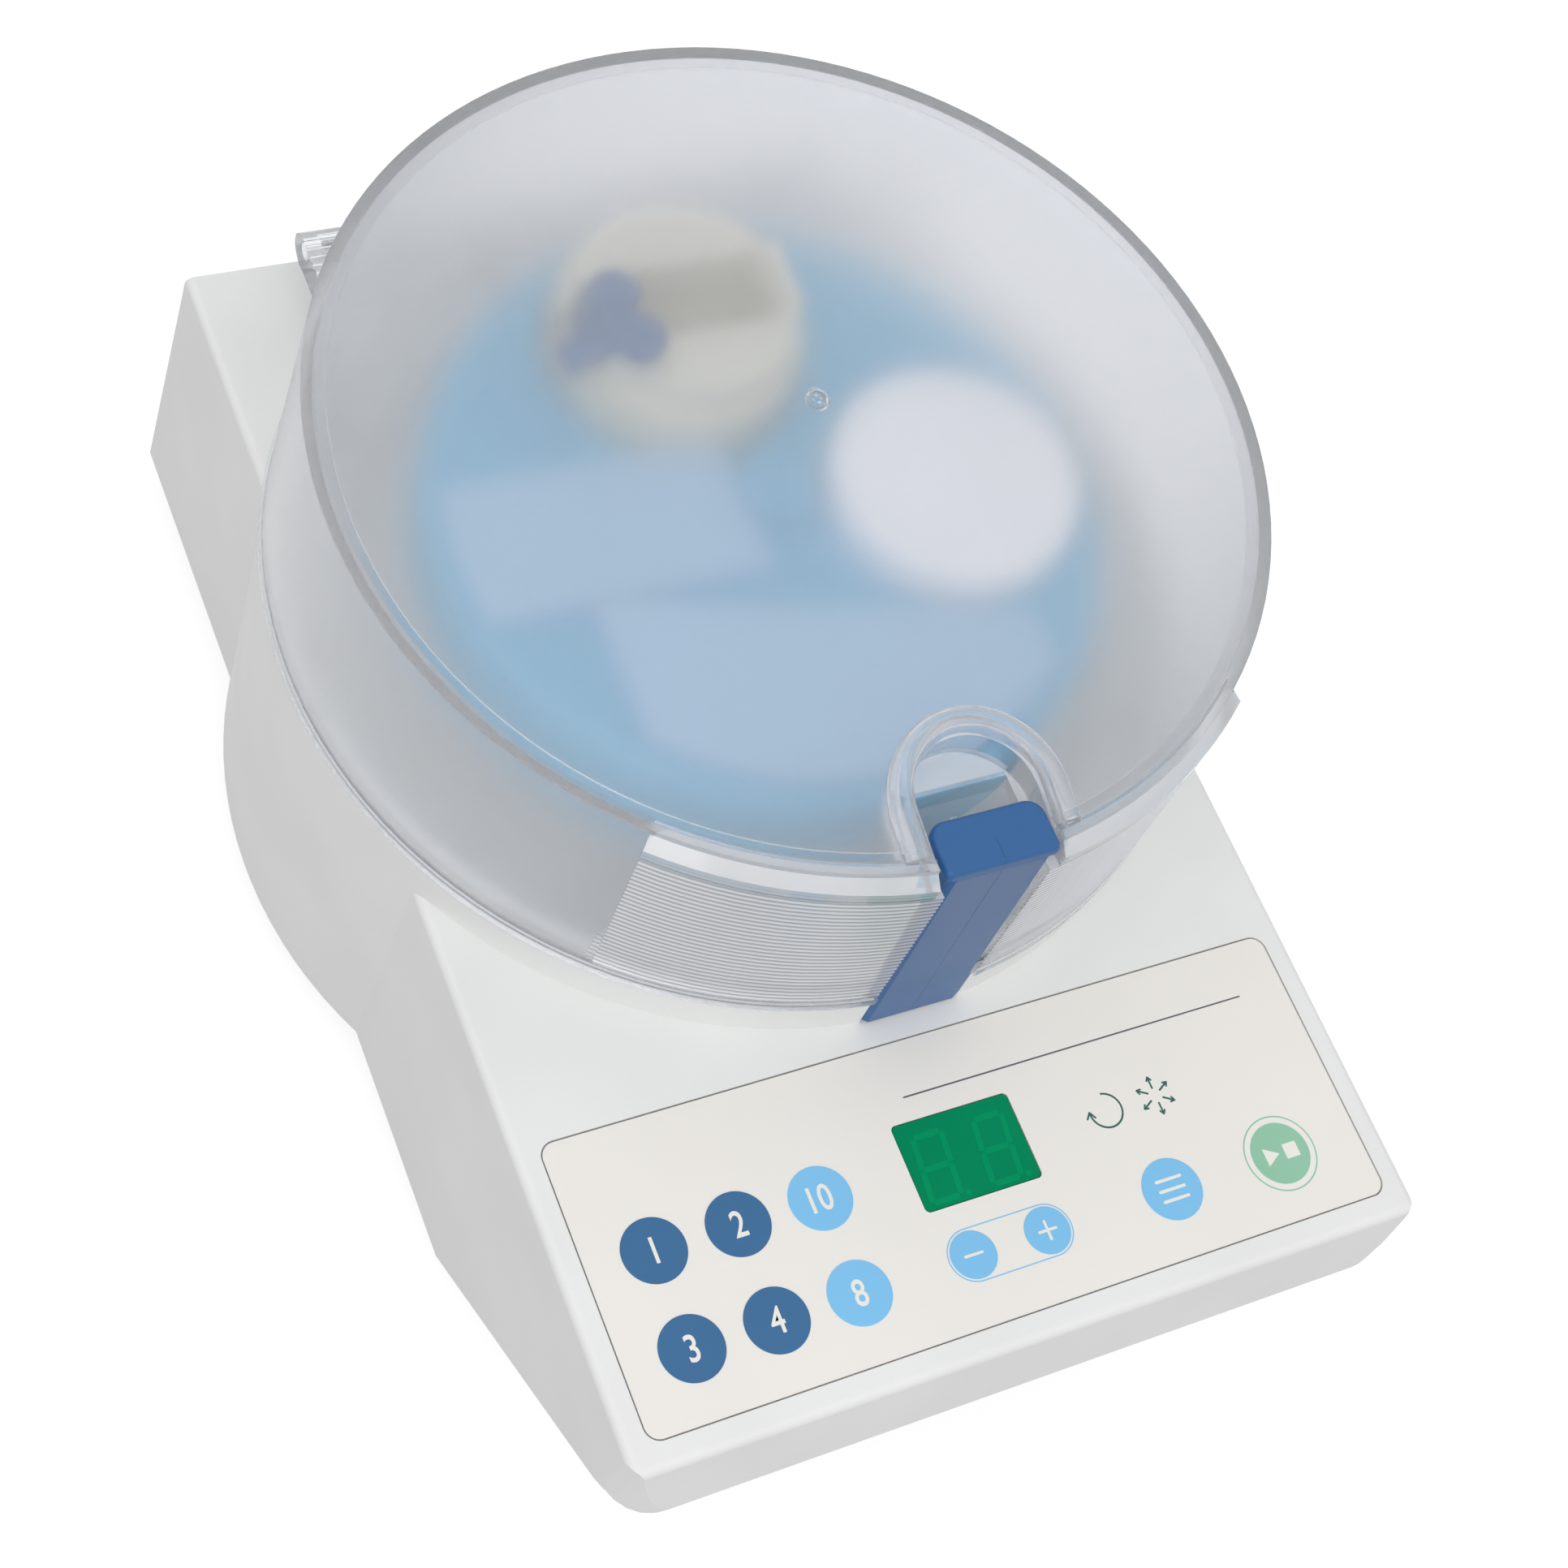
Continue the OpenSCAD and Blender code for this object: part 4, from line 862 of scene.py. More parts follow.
def band(name: str, radius: float, width: float, place: Vector, height: float, stretch: float = 0) -> Object:
    """Thin ring, or a stadium outline where it is stretched along X.

    Args:
        name: Name of the piece.
        radius: Inner radius in metres.
        width: Width of the line.
        place: Middle of the lower face.
        height: Thickness.
        stretch: Length of the straight part.

    Returns:
        The piece.
    """
    free()
    bpy.ops.mesh.primitive_circle_add(vertices=96, radius=radius, fill_type="NOTHING", location=place)
    piece = claim(name)
    share = (radius + width) / radius
    with editing(piece) as mesh:
        pick(mesh, "edges")
        bpy.ops.mesh.extrude_edges_move()
        bpy.ops.transform.resize(value=(share, share, 1), center_override=place)
        pull_apart(mesh, stretch / 2, place.x)
    thicken(piece, height)
    return piece


def outline(name: str, corners: int, radius: float) -> Object:
    """Filled regular outline at the origin, with one corner towards +Y.

    Args:
        name: Name of the piece.
        corners: Number of corners.
        radius: Distance from the middle to a corner, in metres.

    Returns:
        The flat piece.
    """
    free()
    bpy.ops.mesh.primitive_circle_add(vertices=corners, radius=radius, fill_type="NGON", location=(0, 0, 0))
    return claim(name)


def bar(name: str, length: float, width: float, place: Vector, height: float, angle: float = 0) -> Object:
    """Thin printed stroke with round ends.

    Args:
        name: Name of the piece.
        length: Length from end to end.
        width: Width of the stroke.
        place: Middle of the lower face.
        height: Thickness.
        angle: Turn about Z in radians.

    Returns:
        The piece.
    """
    piece = outline(name, 16, width / 2)
    with editing(piece) as mesh:
        pull_apart(mesh, (length - width) / 2)
    thicken(piece, height)
    piece.data.transform(Matrix.Translation(place) @ Matrix.Rotation(angle, 4, "Z"))
    return piece


def wedge(name: str, radius: float, place: Vector, height: float, angle: float, corners: int = 3) -> Object:
    """Small printed triangle or other regular outline, its point towards +Y before the turn.

    Args:
        name: Name of the piece.
        radius: Distance from the middle to a corner.
        place: Middle of the lower face.
        height: Thickness.
        angle: Turn about Z in radians.
        corners: Number of corners.

    Returns:
        The piece.
    """
    piece = outline(name, corners, radius)
    with editing(piece) as mesh:
        pick(mesh, "verts")
        bpy.ops.mesh.bevel(offset=radius * 0.08, segments=2, affect="VERTICES")
    thicken(piece, height)
    piece.data.transform(Matrix.Translation(place) @ Matrix.Rotation(angle, 4, "Z"))
    return piece


def legend(text: str, name: str, size: float, place: Vector, height: float) -> Object:
    """Printed plain number, a little narrower and bolder than the font.

    Args:
        text: What it says.
        name: Name of the piece.
        size: Font size in metres.
        place: Middle of the lower face.
        height: Thickness.

    Returns:
        The piece.
    """
    narrow, bold = 0.8, 0.012
    free()
    bpy.ops.object.text_add(location=(0, 0, 0))
    piece = bpy.context.object
    piece.data.body = text
    piece.data.size = size
    piece.data.align_x = "CENTER"
    piece.data.align_y = "CENTER"
    piece.data.offset = bold * size
    piece.data.extrude = height / 2
    bpy.ops.object.convert(target="MESH")
    piece = bpy.context.object
    piece.name = name
    low = Vector([min(v.co[i] for v in piece.data.vertices) for i in range(3)])
    high = Vector([max(v.co[i] for v in piece.data.vertices) for i in range(3)])
    centre = (low + high) / 2
    centre.z = low.z
    squeeze = Matrix.Diagonal((narrow, 1, 1, 1)) @ Matrix.Translation(-centre)
    piece.data.transform(Matrix.Translation(place) @ squeeze)
    return piece


def cut_off(piece: Object, point_mm: tuple, normal: tuple) -> None:
    """Cut a piece with a plane, close it, and drop what lies on the side that the normal points to.

    Args:
        piece: Mesh object.
        point_mm: Point on the plane in millimetres.
        normal: Direction of the part that goes.
    """
    with editing(piece):
        bpy.ops.mesh.select_all(action="SELECT")
        bpy.ops.mesh.bisect(
            plane_co=Vector(point_mm) * MM, plane_no=normal, use_fill=True, clear_outer=True, threshold=NEAR
        )


def node_copy(node: str, name: str) -> Object:
    """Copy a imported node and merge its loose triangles.

    Args:
        node: Name of the node.
        name: Name of the copy.

    Returns:
        The copy.
    """
    piece = copy_of(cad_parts[node], name, Vector((0, 0, 0)))
    with editing(piece):
        bpy.ops.mesh.select_all(action="SELECT")
        bpy.ops.mesh.remove_doubles(threshold=2e-6)
    return piece


def box_piece(name: str, low_mm: tuple, high_mm: tuple) -> Object:
    """Block between two corners, as the start of a shaped piece.

    Args:
        name: Name of the piece.
        low_mm: Lower corner in millimetres.
        high_mm: Upper corner in millimetres.

    Returns:
        The piece.
    """
    low, high = Vector(low_mm) * MM, Vector(high_mm) * MM
    free()
    bpy.ops.mesh.primitive_cube_add(size=1, location=(low + high) / 2, scale=high - low)
    return claim(name)


def round_edges(piece: Object, wanted: Callable, radius_mm: float, segments: int = 4) -> None:
    """Round the edges that pass a test.

    Args:
        piece: Mesh object.
        wanted: Test that takes one edge.
        radius_mm: Radius in millimetres.
        segments: Steps of the rounding.
    """
    with editing(piece) as mesh:
        pick(mesh, "edges", wanted)
        bpy.ops.mesh.bevel(offset=radius_mm * MM, segments=segments, profile=0.5)


def upright(edge: bmesh.types.BMEdge) -> bool:
    """Tell whether an edge runs mostly along Z.

    Args:
        edge: Edge of a mesh.

    Returns:
        True where it does.
    """
    way = edge.verts[0].co - edge.verts[1].co
    return abs(way.z) > 0.8 * way.length


@dataclass
class PanelPrint:
    """Printed keys, signs and rule on the control film, in millimetres from the film's rear edge."""

    shop: FinishShop
    key_radius: float = 6.7
    key_x: tuple = (-69.8, -51.9, -34.0)
    key_y: tuple = (-26.4, -46.6)
    key_signs: tuple = (("1", "3"), ("2", "4"), ("10", "8"))
    sign_size: float = 7.6
    small_radius: float = 5.0
    small_x: tuple = (-8.5, 8.5)
    small_sign: tuple = (4.4, 0.6)
    ring_gap: float = 0.35
    ring_width: float = 0.25
    lower_y: float = -46.5
    mode_x: float = 38.2
    mode_bar: tuple = (6.4, 0.7)
    mode_step: float = 2.2
    start_x: float = 65.0
    start_ring: tuple = (8.0, 0.3)
    start_sign: float = 2.3
    start_gap: float = 2.6
    stroke: float = 0.42
    barb_turn: float = 0.62
    rotate_at: tuple = (31.9, -26.75)
    rotate_radius: float = 3.7
    rotate_arc: tuple = (84, 268)
    rotate_tip: float = 176
    spread_at: tuple = (44.0, -26.85)
    spread_arrow: tuple = (1.5, 2.7)
    rule_y: float = -11.7
    rule_x: tuple = (-9.0, 73.0)
    rule_width: float = 0.35
    key_height: float = 0.16
    ink_height: float = 0.05
    sink: float = 0.02

    def at(self, x: float, y: float, up: float = 0) -> Vector:
        """Point on the film's top face.

        Args:
            x: Place across the film.
            y: Place from its rear edge, negative towards the front.
            up: Height above the film.

        Returns:
            The point in metres.
        """
        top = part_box("control_film")[1]
        return Vector((x * MM, top.y + y * MM, top.z + (up - self.sink) * MM))

    def keep(self, piece: Object, finish: str) -> None:
        """Paint a printed piece and mount it on the housing.

        Args:
            piece: Finished piece.
            finish: Name of its ink.
        """
        dress(piece, self.shop.get(finish), Body.HOUSING)

    def build(self) -> None:
        """Print the keys, their signs, the icons and the rule."""
        self.programme_keys()
        self.step_keys()
        self.mode_key()
        self.start_key()
        self.rotate_icon()
        self.spread_icon()
        self.rule()

    def programme_keys(self) -> None:
        """Six round keys with plain numbers."""
        origin = self.at(self.key_x[0], self.key_y[0])
        first = disc("programme_key_1", self.key_radius * MM, origin, self.key_height * MM)
        number = 0
        for column, x in enumerate(self.key_x):
            for row, y in enumerate(self.key_y):
                number += 1
                shift = self.at(x, y) - origin
                key = first if number == 1 else copy_of(first, f"programme_key_{number}", shift)
                up = self.at(x, y, self.key_height)
                text, name = self.key_signs[column][row], f"key_number_{number}"
                self.keep(legend(text, name, self.sign_size * MM, up, self.ink_height * MM), "ink_cream")
                self.keep(key, "ink_sky" if column == 2 else "ink_navy")

    def step_keys(self) -> None:
        """Minus and plus keys in their stadium outline."""
        left, right = (self.at(x, self.lower_y) for x in self.small_x)
        minus = disc("minus_key", self.small_radius * MM, left, self.key_height * MM)
        plus = copy_of(minus, "plus_key", right - left)
        ring = band(
            "step_key_outline",
            (self.small_radius + self.ring_gap) * MM,
            self.ring_width * MM,
            (left + right) / 2,
            self.ink_height * MM,
            stretch=(right - left).x,
        )
        up = Vector((0, 0, self.key_height * MM))
        length, width = (size * MM for size in self.small_sign)
        ink = self.ink_height * MM
        dash = bar("minus_sign", length, width, left + up, ink)
        across = bar("plus_across", length, width, right + up, ink)
        # The second stroke is a little lower, so that the two tops don't lie in one plane.
        down = bar("plus_upright", length, width, right + up, ink * 0.99, math.pi / 2)
        cross = join([across, down], "plus_sign")
        for piece in (minus, plus, ring):
            self.keep(piece, "ink_sky")
        for piece in (dash, cross):
            self.keep(piece, "ink_cream")

    def mode_key(self) -> None:
        """Round key with three plain bars."""
        spot = self.at(self.mode_x, self.lower_y)
        key = disc("mode_key", self.key_radius * MM, spot, self.key_height * MM)
        up = self.at(self.mode_x, self.lower_y, self.key_height)
        length, width = (size * MM for size in self.mode_bar)
        bars = []
        for i in range(3):
            place = up + Vector((0, (i - 1) * self.mode_step * MM, 0))
            bars.append(bar(f"mode_bar_{i}", length, width, place, self.ink_height * MM))
        self.keep(key, "ink_sky")
        self.keep(join(bars, "mode_sign"), "ink_cream")

    def start_key(self) -> None:
        """Round key with a start triangle and a stop square, inside a thin ring."""
        spot = self.at(self.start_x, self.lower_y)
        ink = self.ink_height * MM
        key = disc("start_key", self.key_radius * MM, spot, self.key_height * MM)
        ring = band("start_key_ring", *(size * MM for size in self.start_ring), spot, ink)
        up = self.at(self.start_x, self.lower_y, self.key_height)
        aside = Vector((self.start_gap * MM, 0, 0))
        radius = self.start_sign * MM
        play = wedge("start_sign", radius, up - aside, ink, -math.pi / 2)
        stop = wedge("stop_sign", radius, up + aside, ink, math.pi / 4, 4)
        self.keep(key, "ink_mint")
        self.keep(ring, "ink_mint")
        self.keep(join([play, stop], "start_stop_sign"), "ink_cream")

    def arrow(self, name: str, tail: Vector, angle: float, length: float) -> list[Object]:
        """Small printed arrow.

        Args:
            name: Start of the pieces' names.
            tail: Its tail on the film.
            angle: Direction in radians from +X.
            length: Length from tail to tip.

        Returns:
            Shaft and head.
        """
        way = Vector((math.cos(angle), math.sin(angle), 0))
        middle = tail + way * length / 2
        shaft = bar(name + "_shaft", length, self.stroke * MM, middle, self.ink_height * MM, angle)
        return [shaft, *self.barb(name + "_barb", tail + way * length, angle, 1.3)]

    def barb(self, name: str, tip: Vector, angle: float, length_mm: float) -> list[Object]:
        """Open arrow head of two strokes.

        Args:
            name: Start of the pieces' names.
            tip: Its point on the film.
            angle: Direction that it points to, in radians from +X.
            length_mm: Length of a stroke in millimetres.

        Returns:
            The two strokes.
        """
        strokes = []
        for i, turn in enumerate((-self.barb_turn, self.barb_turn)):
            back = angle + math.pi + turn
            place = tip + Vector((math.cos(back), math.sin(back), 0)) * (length_mm / 2 - 0.2) * MM
            # Each stroke has its own height, so that no two tops lie in one plane.
            height = self.ink_height * (0.98 - 0.01 * i) * MM
            strokes.append(bar(f"{name}_{i}", length_mm * MM, self.stroke * MM, place, height, back))
        return strokes

    def rotate_icon(self) -> None:
        """Open circle with an arrow head at its end."""
        spot = self.at(*self.rotate_at)
        radius = self.rotate_radius * MM
        free()
        bpy.ops.mesh.primitive_plane_add(size=self.stroke * MM, location=spot + Vector((radius, 0, 0)))
        arc = claim("rotate_arc")
        start, sweep = (math.radians(angle) for angle in self.rotate_arc)
        with editing(arc) as mesh:
            pick(mesh, "verts", lambda vert: vert.co.y > spot.y)
            bpy.ops.mesh.delete(type="VERT")
            pick(mesh, "verts")
            bpy.ops.transform.resize(value=(1, 0, 1), center_override=spot)
            bpy.ops.mesh.spin(steps=60, angle=sweep, center=spot, axis=(0, 0, 1))
        turned = Matrix.Rotation(start, 4, "Z") @ Matrix.Translation(-spot)
        arc.data.transform(Matrix.Translation(spot) @ turned)
        thicken(arc, self.ink_height * MM)
        end = math.radians(self.rotate_tip)
        tip = spot + Vector((math.cos(end), math.sin(end), 0)) * radius
        head = self.barb("rotate_barb", tip + Vector((0, 0.3 * MM, 0)), end - math.pi / 2, 2.0)
        self.keep(join([arc, *head], "rotate_icon"), "ink_green")

    def spread_icon(self) -> None:
        """Six arrows that point away from one spot."""
        spot = self.at(*self.spread_at)
        tail, length = (size * MM for size in self.spread_arrow)
        parts = []
        for i in range(6):
            angle = math.radians(30 + 60 * i)
            way = Vector((math.cos(angle), math.sin(angle), 0))
            parts += self.arrow(f"spread_{i}", spot + way * tail, angle, length)
        self.keep(join(parts, "spread_icon"), "ink_green")

    def rule(self) -> None:
        """Long thin line across the film's upper part."""
        left, right = self.rule_x
        place = self.at((left + right) / 2, self.rule_y)
        line = bar("panel_rule", (right - left) * MM, self.rule_width * MM, place, self.ink_height * MM)
        self.keep(line, "ink_grey")


@dataclass
class Display:
    """Unlit two-digit display under the green window, in millimetres."""

    shop: FinishShop
    digit_h: float = 15.4
    digit_w: float = 8.0
    stroke: float = 1.5
    joint_gap: float = 0.25
    digit_x: tuple = (-7.3, 6.6)
    digit_y: float = -1.0
    slant: float = 6.0
    point_off: tuple = (4.2, -6.9)
    point_radius: float = 0.7
    height: float = 0.03

    def segment(self, name: str, length: float) -> Object:
        """One elongated six-cornered segment along X, at the origin.

        Args:
            name: Name of the piece.
            length: Length from tip to tip in millimetres.

        Returns:
            The piece.
        """
        piece = outline(name, 6, self.stroke * MM / 2)
        piece.data.transform(Matrix.Rotation(math.pi / 2, 4, "Z"))
        with editing(piece) as mesh:
            pull_apart(mesh, (length - self.stroke) / 2 * MM)
        thicken(piece, self.height * MM)
        return piece

    def digit(self, name: str, middle: Vector) -> Object:
        """Seven segments, slanted.

        Args:
            name: Name of the piece.
            middle: Middle of the digit on the window.

        Returns:
            The piece.
        """
        half_w = (self.digit_w - self.stroke) / 2 * MM
        quarter = (self.digit_h - self.stroke) / 4 * MM
        flat = self.segment(name + "_flat", self.digit_w - self.stroke * 1.35)
        side = self.segment(name + "_upright", (self.digit_h - self.stroke) / 2 - self.joint_gap)
        side.data.transform(Matrix.Rotation(math.pi / 2, 4, "Z"))
        side.data.transform(Matrix.Translation((-half_w, quarter, 0)))
        parts = [flat, side]
        for i, y in enumerate((2 * quarter, -2 * quarter)):
            parts.append(copy_of(flat, f"{name}_flat_{i}", Vector((0, y, 0))))
        for i, (x, y) in enumerate(((half_w, quarter), (-half_w, -quarter), (half_w, -quarter))):
            shift = Vector((x + half_w, y - quarter, 0))
            parts.append(copy_of(side, f"{name}_upright_{i}", shift))
        piece = join(parts, name)
        slant = Matrix.Identity(4)
        slant[0][1] = math.tan(math.radians(self.slant))
        piece.data.transform(Matrix.Translation(middle) @ slant)
        return piece

    def build(self) -> None:
        """Put the two digits and their points on the window."""
        low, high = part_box("display_window")
        middle = (low + high) / 2
        middle.z = high.z
        for i, x in enumerate(self.digit_x, 1):
            spot = middle + Vector((x, self.digit_y, 0)) * MM
            digit = self.digit(f"display_digit_{i}", spot)
            place = spot + Vector((*self.point_off, 0)) * MM
            dress(digit, self.shop.get("segment"), Body.HOUSING)
            point = disc(f"display_point_{i}", self.point_radius * MM, place, self.height * MM, 24)
            dress(point, self.shop.get("segment"), Body.HOUSING)


@dataclass
class RotorTop:
    """Raised plates on the rotor and the clamp's two finger lobes, in millimetres.

    A cut is a point in the plane and the direction of the part that goes.
    """

    shop: FinishShop
    middle: tuple = (0.0, 32.55)
    low: float = 119.38
    high: float = 121.4
    side_radius: float = 69.5
    side_cuts: tuple = (
        ((-13.1, 46.6), (0.208, 0.978)),
        ((0, 48.5), (0, 1)),
        ((0, 16.0), (0, -1)),
        ((-7, 0), (1, 0)),
    )
    front_radius: float = 67
    front_cuts: tuple = (((0, 4.5), (0.26, 0.966)), ((-47, 0), (-1, 0)), ((43, 0), (1, 0)))
    lobes: tuple = ((-24.4, 74.4), (-22.9, 62.9))
    lobe_radius: float = 5.5
    lobe_top: float = 142.0
    lobe_height: float = 3.6
    arm_top: float = 137.0
    web: tuple = ((-29.0, 62.5, 136.0), (-22.5, 74.5, 141.0))
    tail: tuple = ((-38.0, 62.0, 131.0), (-24.0, 69.0, 134.5))
    tail_rise: float = 5.5

    def plate(self, name: str, radius: float, cuts: Sequence[tuple]) -> Object:
        """Part of a disc that straight cuts leave.

        Args:
            name: Name of the piece.
            radius: Radius of the disc.
            cuts: Point and outward direction of each cut, in the plane.

        Returns:
            The piece.
        """
        place = Vector((*self.middle, self.low)) * MM
        piece = disc(name, radius * MM, place, (self.high - self.low) * MM, 120)
        for point, way in cuts:
            cut_off(piece, (*point, 0), (*way, 0))
        return piece

    def build(self) -> None:
        """Lay the plates and shape the clamp."""
        side = self.plate("side_plate", self.side_radius, self.side_cuts)
        front = self.plate("front_plate", self.front_radius, self.front_cuts)
        plates = join([side, front], "rotor_plates")
        dress(plates, self.shop.get("plate"), Body.ROTOR)
        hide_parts("balance_plates")
        self.clamp()

    def clamp(self) -> None:
        """Lever on its pin with two round lobes and a short tail."""
        arm = node_copy("clamp_lever", "clamp_arm")
        cut_off(arm, (0, 0, self.arm_top), (0, 0, 1))
        parts = [arm]
        height = self.lobe_height * MM
        for i, (x, y) in enumerate(self.lobes, 1):
            place = Vector((x * MM, y * MM, (self.lobe_top - self.lobe_height) * MM))
            parts.append(disc(f"clamp_lobe_{i}", self.lobe_radius * MM, place, height, 48))
        web = box_piece("clamp_web", *self.web)
        round_edges(web, bool, 1.0, 2)
        tail = box_piece("clamp_tail", *self.tail)
        middle = (self.tail[0][0] + self.tail[1][0]) / 2 * MM
        with editing(tail) as mesh:
            pick(mesh, "verts", lambda vert: vert.co.x > middle)
            bpy.ops.transform.translate(value=(0, 0, self.tail_rise * MM))
        round_edges(tail, bool, 1.0, 2)
        piece = join([*parts, web, tail], "clamp_with_lobes")
        dress(piece, self.shop.get("clamp"), Body.CLAMP)
        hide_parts("clamp_lever")


@dataclass
class LidFittings:
    """Latch bar with its soft-edged cap and the clear bead round the finger recess, in millimetres."""

    shop: FinishShop
    bar_half: float = 11.1
    bar_low: float = 81.3
    bar_front: float = -69.4
    bar_lean: float = 1.5
    bar_back: float = -62.5
    bar_chamfer: float = 1.2
    arms_top: float = 138.9
    cap_half: float = 12.3
    cap_y: tuple = (-67.9, -56.4)
    cap_z: tuple = (142.4, 145.2)
    cap_rear_corner: float = 3.6
    cap_front_corner: float = 1.4
    cap_top_edge: float = 1.1
    cap_low_edge: float = 0.4
    loop: tuple = (0.0, -55.25, 145.2)
    loop_radius: float = 16.4
    bead_radius: float = 2.6
    loop_slope: float = 0.184
    bead_length: float = 7.6

    def build(self) -> None:
        """Shape the latch and the bead."""
        self.latch()
        self.bead()

    def latch(self) -> None:
        """Leaning bar with chamfered sides, and a cap with rolled edges, on the lever's own pivot."""
        inner = node_copy("latch_lever", "latch_pivot_arms")
        cut_off(inner, (0, 0, self.arms_top), (0, 0, 1))
        piece = join([self.latch_bar(), self.latch_cap(), inner], "latch_bar_and_cap")
        dress(piece, self.shop.get("latch"), Body.LATCH)
        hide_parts("latch_lever")

    def latch_bar(self) -> Object:
        """Bar that leans back towards its top, its front corners chamfered.

        Returns:
            The bar.
        """
        half, top = self.bar_half, self.cap_z[0] + 0.4
        piece = box_piece("latch_bar", (-half, self.bar_front, self.bar_low), (half, self.bar_back, top))
        middle = (self.bar_front + self.bar_back) / 2 * MM
        level = (self.bar_low + top) / 2 * MM
        with editing(piece) as mesh:
            pick(mesh, "verts", lambda vert: vert.co.z > level and vert.co.y < middle)
            bpy.ops.transform.translate(value=(0, self.bar_lean * MM, 0))
        round_edges(
            piece,
            lambda edge: all(v.co.y < middle for v in edge.verts) and upright(edge),
            self.bar_chamfer,
            1,
        )
        return piece

    def latch_cap(self) -> Object:
        """Cap with round rear corners, tighter front corners and rolled edges.

        Returns:
            The cap.
        """
        wide = self.cap_half
        (front, rear), (low, high) = self.cap_y, self.cap_z
        piece = box_piece("latch_cap", (-wide, front, low), (wide, rear, high))
        middle, level = (front + rear) / 2 * MM, (low + high) / 2 * MM
        round_edges(
            piece, lambda edge: upright(edge) and edge.verts[0].co.y > middle, self.cap_rear_corner, 8
        )
        # The rear corners are rounded by now, so this takes only the edges at the very front.
        near_front = (front + 0.5) * MM
        round_edges(
            piece, lambda edge: upright(edge) and edge.verts[0].co.y < near_front, self.cap_front_corner, 4
        )
        round_edges(piece, lambda edge: all(v.co.z > level for v in edge.verts), self.cap_top_edge, 4)
        # The rolled top reaches down past the middle, so the lower edges are taken at the bottom.
        bottom = (low + 0.1) * MM
        round_edges(piece, lambda edge: all(v.co.z < bottom for v in edge.verts), self.cap_low_edge, 2)
        return piece

    def bead(self) -> None:
        """Half ring with two straight ends that follow the dome's slope."""
        free()
        bpy.ops.mesh.primitive_torus_add(
            major_radius=self.loop_radius * MM,
            minor_radius=self.bead_radius * MM,
            major_segments=96,
            minor_segments=24,
        )
        piece = claim("recess_bead")
        steps = 4
        step = (0, -self.bead_length / steps * MM, 0)
        with editing(piece) as mesh:
            pick(mesh, "verts", lambda vert: vert.co.y < -0.01 * MM)
            bpy.ops.mesh.delete(type="VERT")
            for _ in range(steps):
                pick(mesh, "edges", lambda edge: edge.is_boundary)
                bpy.ops.mesh.extrude_edges_move(TRANSFORM_OT_translate={"value": step})
            pick(mesh, "edges", lambda edge: edge.is_boundary)
            bpy.ops.mesh.edge_face_add()
            bpy.ops.mesh.select_all(action="SELECT")
            bpy.ops.mesh.normals_make_consistent(inside=False)
        slope = Matrix.Identity(4)
        slope[2][1] = self.loop_slope
        piece.data.transform(Matrix.Translation(Vector(self.loop) * MM) @ slope)
        dress(piece, self.shop.get("clear"), Body.LID)


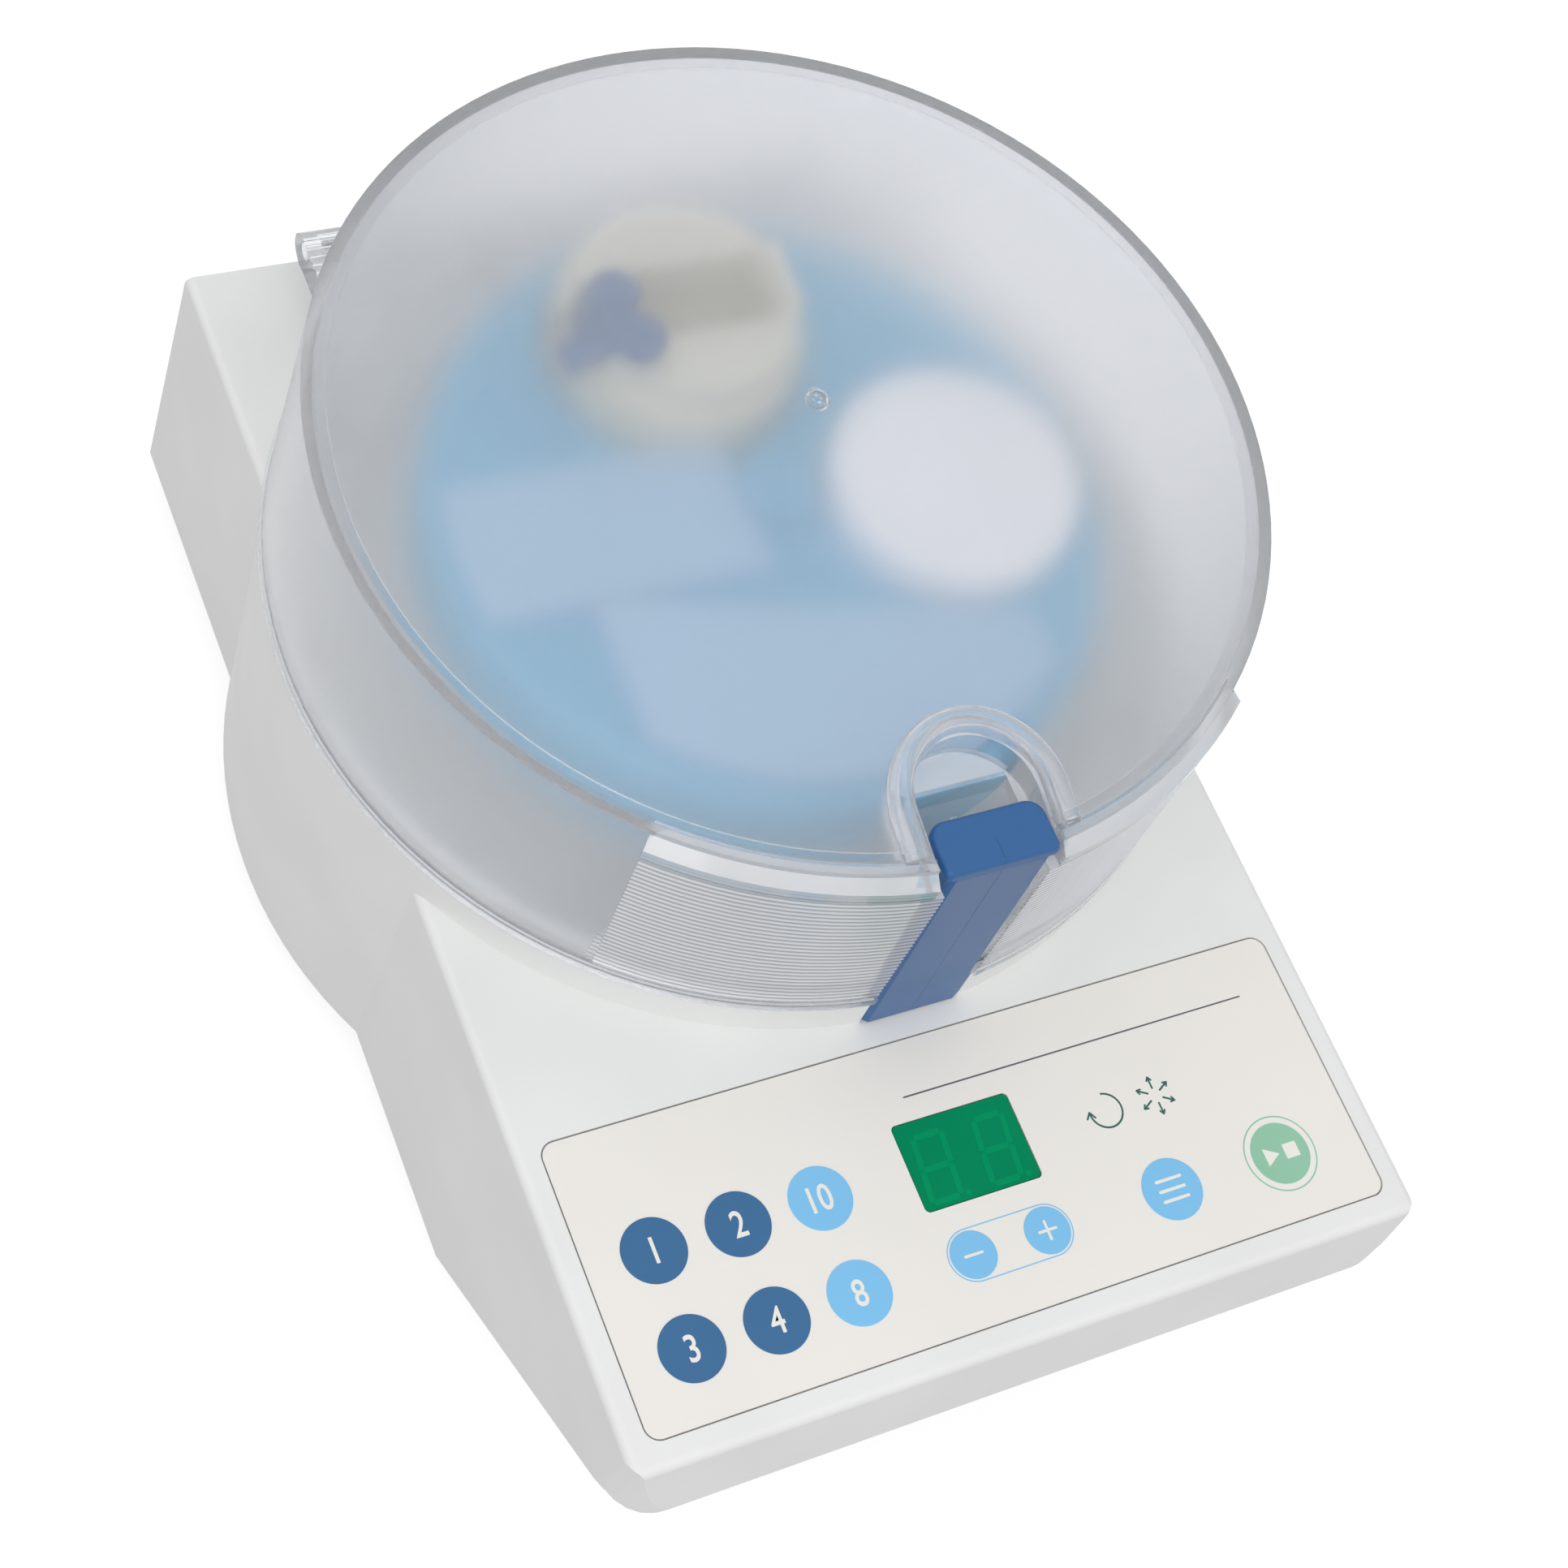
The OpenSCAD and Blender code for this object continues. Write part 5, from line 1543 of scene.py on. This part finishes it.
@dataclass
class Studio:
    """Pale floor, soft lamp and the camera that took the photograph, in metres and degrees."""

    camera_place: tuple = (-0.234863, -0.229870, 0.572689)
    camera_turn: tuple = (29.544, -14.632, -22.615)
    lens: float = 63.3175
    sensor: float = 36
    floor_size: float = 12.0
    floor_drop: float = 0.0002
    sky_towards: tuple = (-0.2, -0.32, 0.93)
    sky_low: float = 0.26
    sky_high: float = 1.1
    sky_from: float = -0.4
    lamp_place: tuple = (-0.5, -0.45, 0.9)
    lamp_target: tuple = (0, 0, 0.08)
    lamp_size: float = 0.6
    lamp_power: float = 1.7

    def build(self) -> None:
        """Make the floor, the sky, the lamp and the camera."""
        self.floor()
        self.world()
        self.lamp()
        self.camera()

    def floor(self) -> None:
        """Plain white floor that keeps the object's shadow."""
        free()
        bpy.ops.mesh.primitive_plane_add(size=self.floor_size, location=(0, 0, -self.floor_drop))
        floor = bpy.context.object
        floor.name = "studio_floor"
        floor.data.materials.append(PaperFloor("paper_floor_white", "#9A9A9A").build())

    def world(self) -> None:
        """Pale sky that is brightest at the front and the top, and white where it is seen directly."""
        world = bpy.data.worlds.new("studio_sky")
        bpy.context.scene.world = world
        world.use_nodes = True
        tree = world.node_tree
        tree.nodes.clear()
        where = add_node(tree, "TexCoord", output="Generated")
        towards = Vector(self.sky_towards).normalized()
        facing = add_node(tree, "VectorMath", where, towards, output="Value", operation="DOT_PRODUCT")
        glow = add_node(tree, "MapRange", facing, self.sky_from, 1.0, self.sky_low, self.sky_high)
        strength = add_node(tree, "Mix", seen_directly(tree), inputs={2: glow, 3: 1.0})
        sky = add_node(tree, "Background", linear("#FFFFFF"), strength)
        add_node(tree, "OutputWorld", sky, output=None)

    def lamp(self) -> None:
        """Large square lamp at the front left that faces the object."""
        data = bpy.data.lights.new("front_softbox", "AREA")
        data.shape = "SQUARE"
        data.size = self.lamp_size
        data.energy = self.lamp_power
        lamp = bpy.data.objects.new("front_softbox", data)
        lamp.location = self.lamp_place
        way = Vector(self.lamp_target) - Vector(self.lamp_place)
        lamp.rotation_euler = way.to_track_quat("-Z", "Y").to_euler()
        bpy.context.scene.collection.objects.link(lamp)

    def camera(self) -> None:
        """Camera at the photograph's place, turn and lens."""
        data = bpy.data.cameras.new("photo_camera")
        data.sensor_width = self.sensor
        data.sensor_fit = "HORIZONTAL"
        data.lens = self.lens
        data.clip_start = 0.01
        camera = bpy.data.objects.new("photo_camera", data)
        camera.location = self.camera_place
        camera.rotation_euler = Euler([math.radians(a) for a in self.camera_turn], "XYZ")
        bpy.context.scene.collection.objects.link(camera)
        bpy.context.scene.camera = camera


def main() -> None:
    """Build the studio, the finishes and each dressed sub-assembly in order."""
    logging.basicConfig(level=logging.INFO, format="%(name)s: %(message)s")
    bpy.context.scene.view_settings.view_transform = "Standard"
    shop = FinishShop()
    Studio().build()
    LOG.info("studio built")
    shop.dress_nodes()
    LOG.info("nodes dressed")
    PanelPrint(shop).build()
    LOG.info("panel printed")
    Display(shop).build()
    LOG.info("display built")
    RotorTop(shop).build()
    LidFittings(shop).build()
    LOG.info("rotor and lid fitted out")


if __name__ == "__main__":
    main()
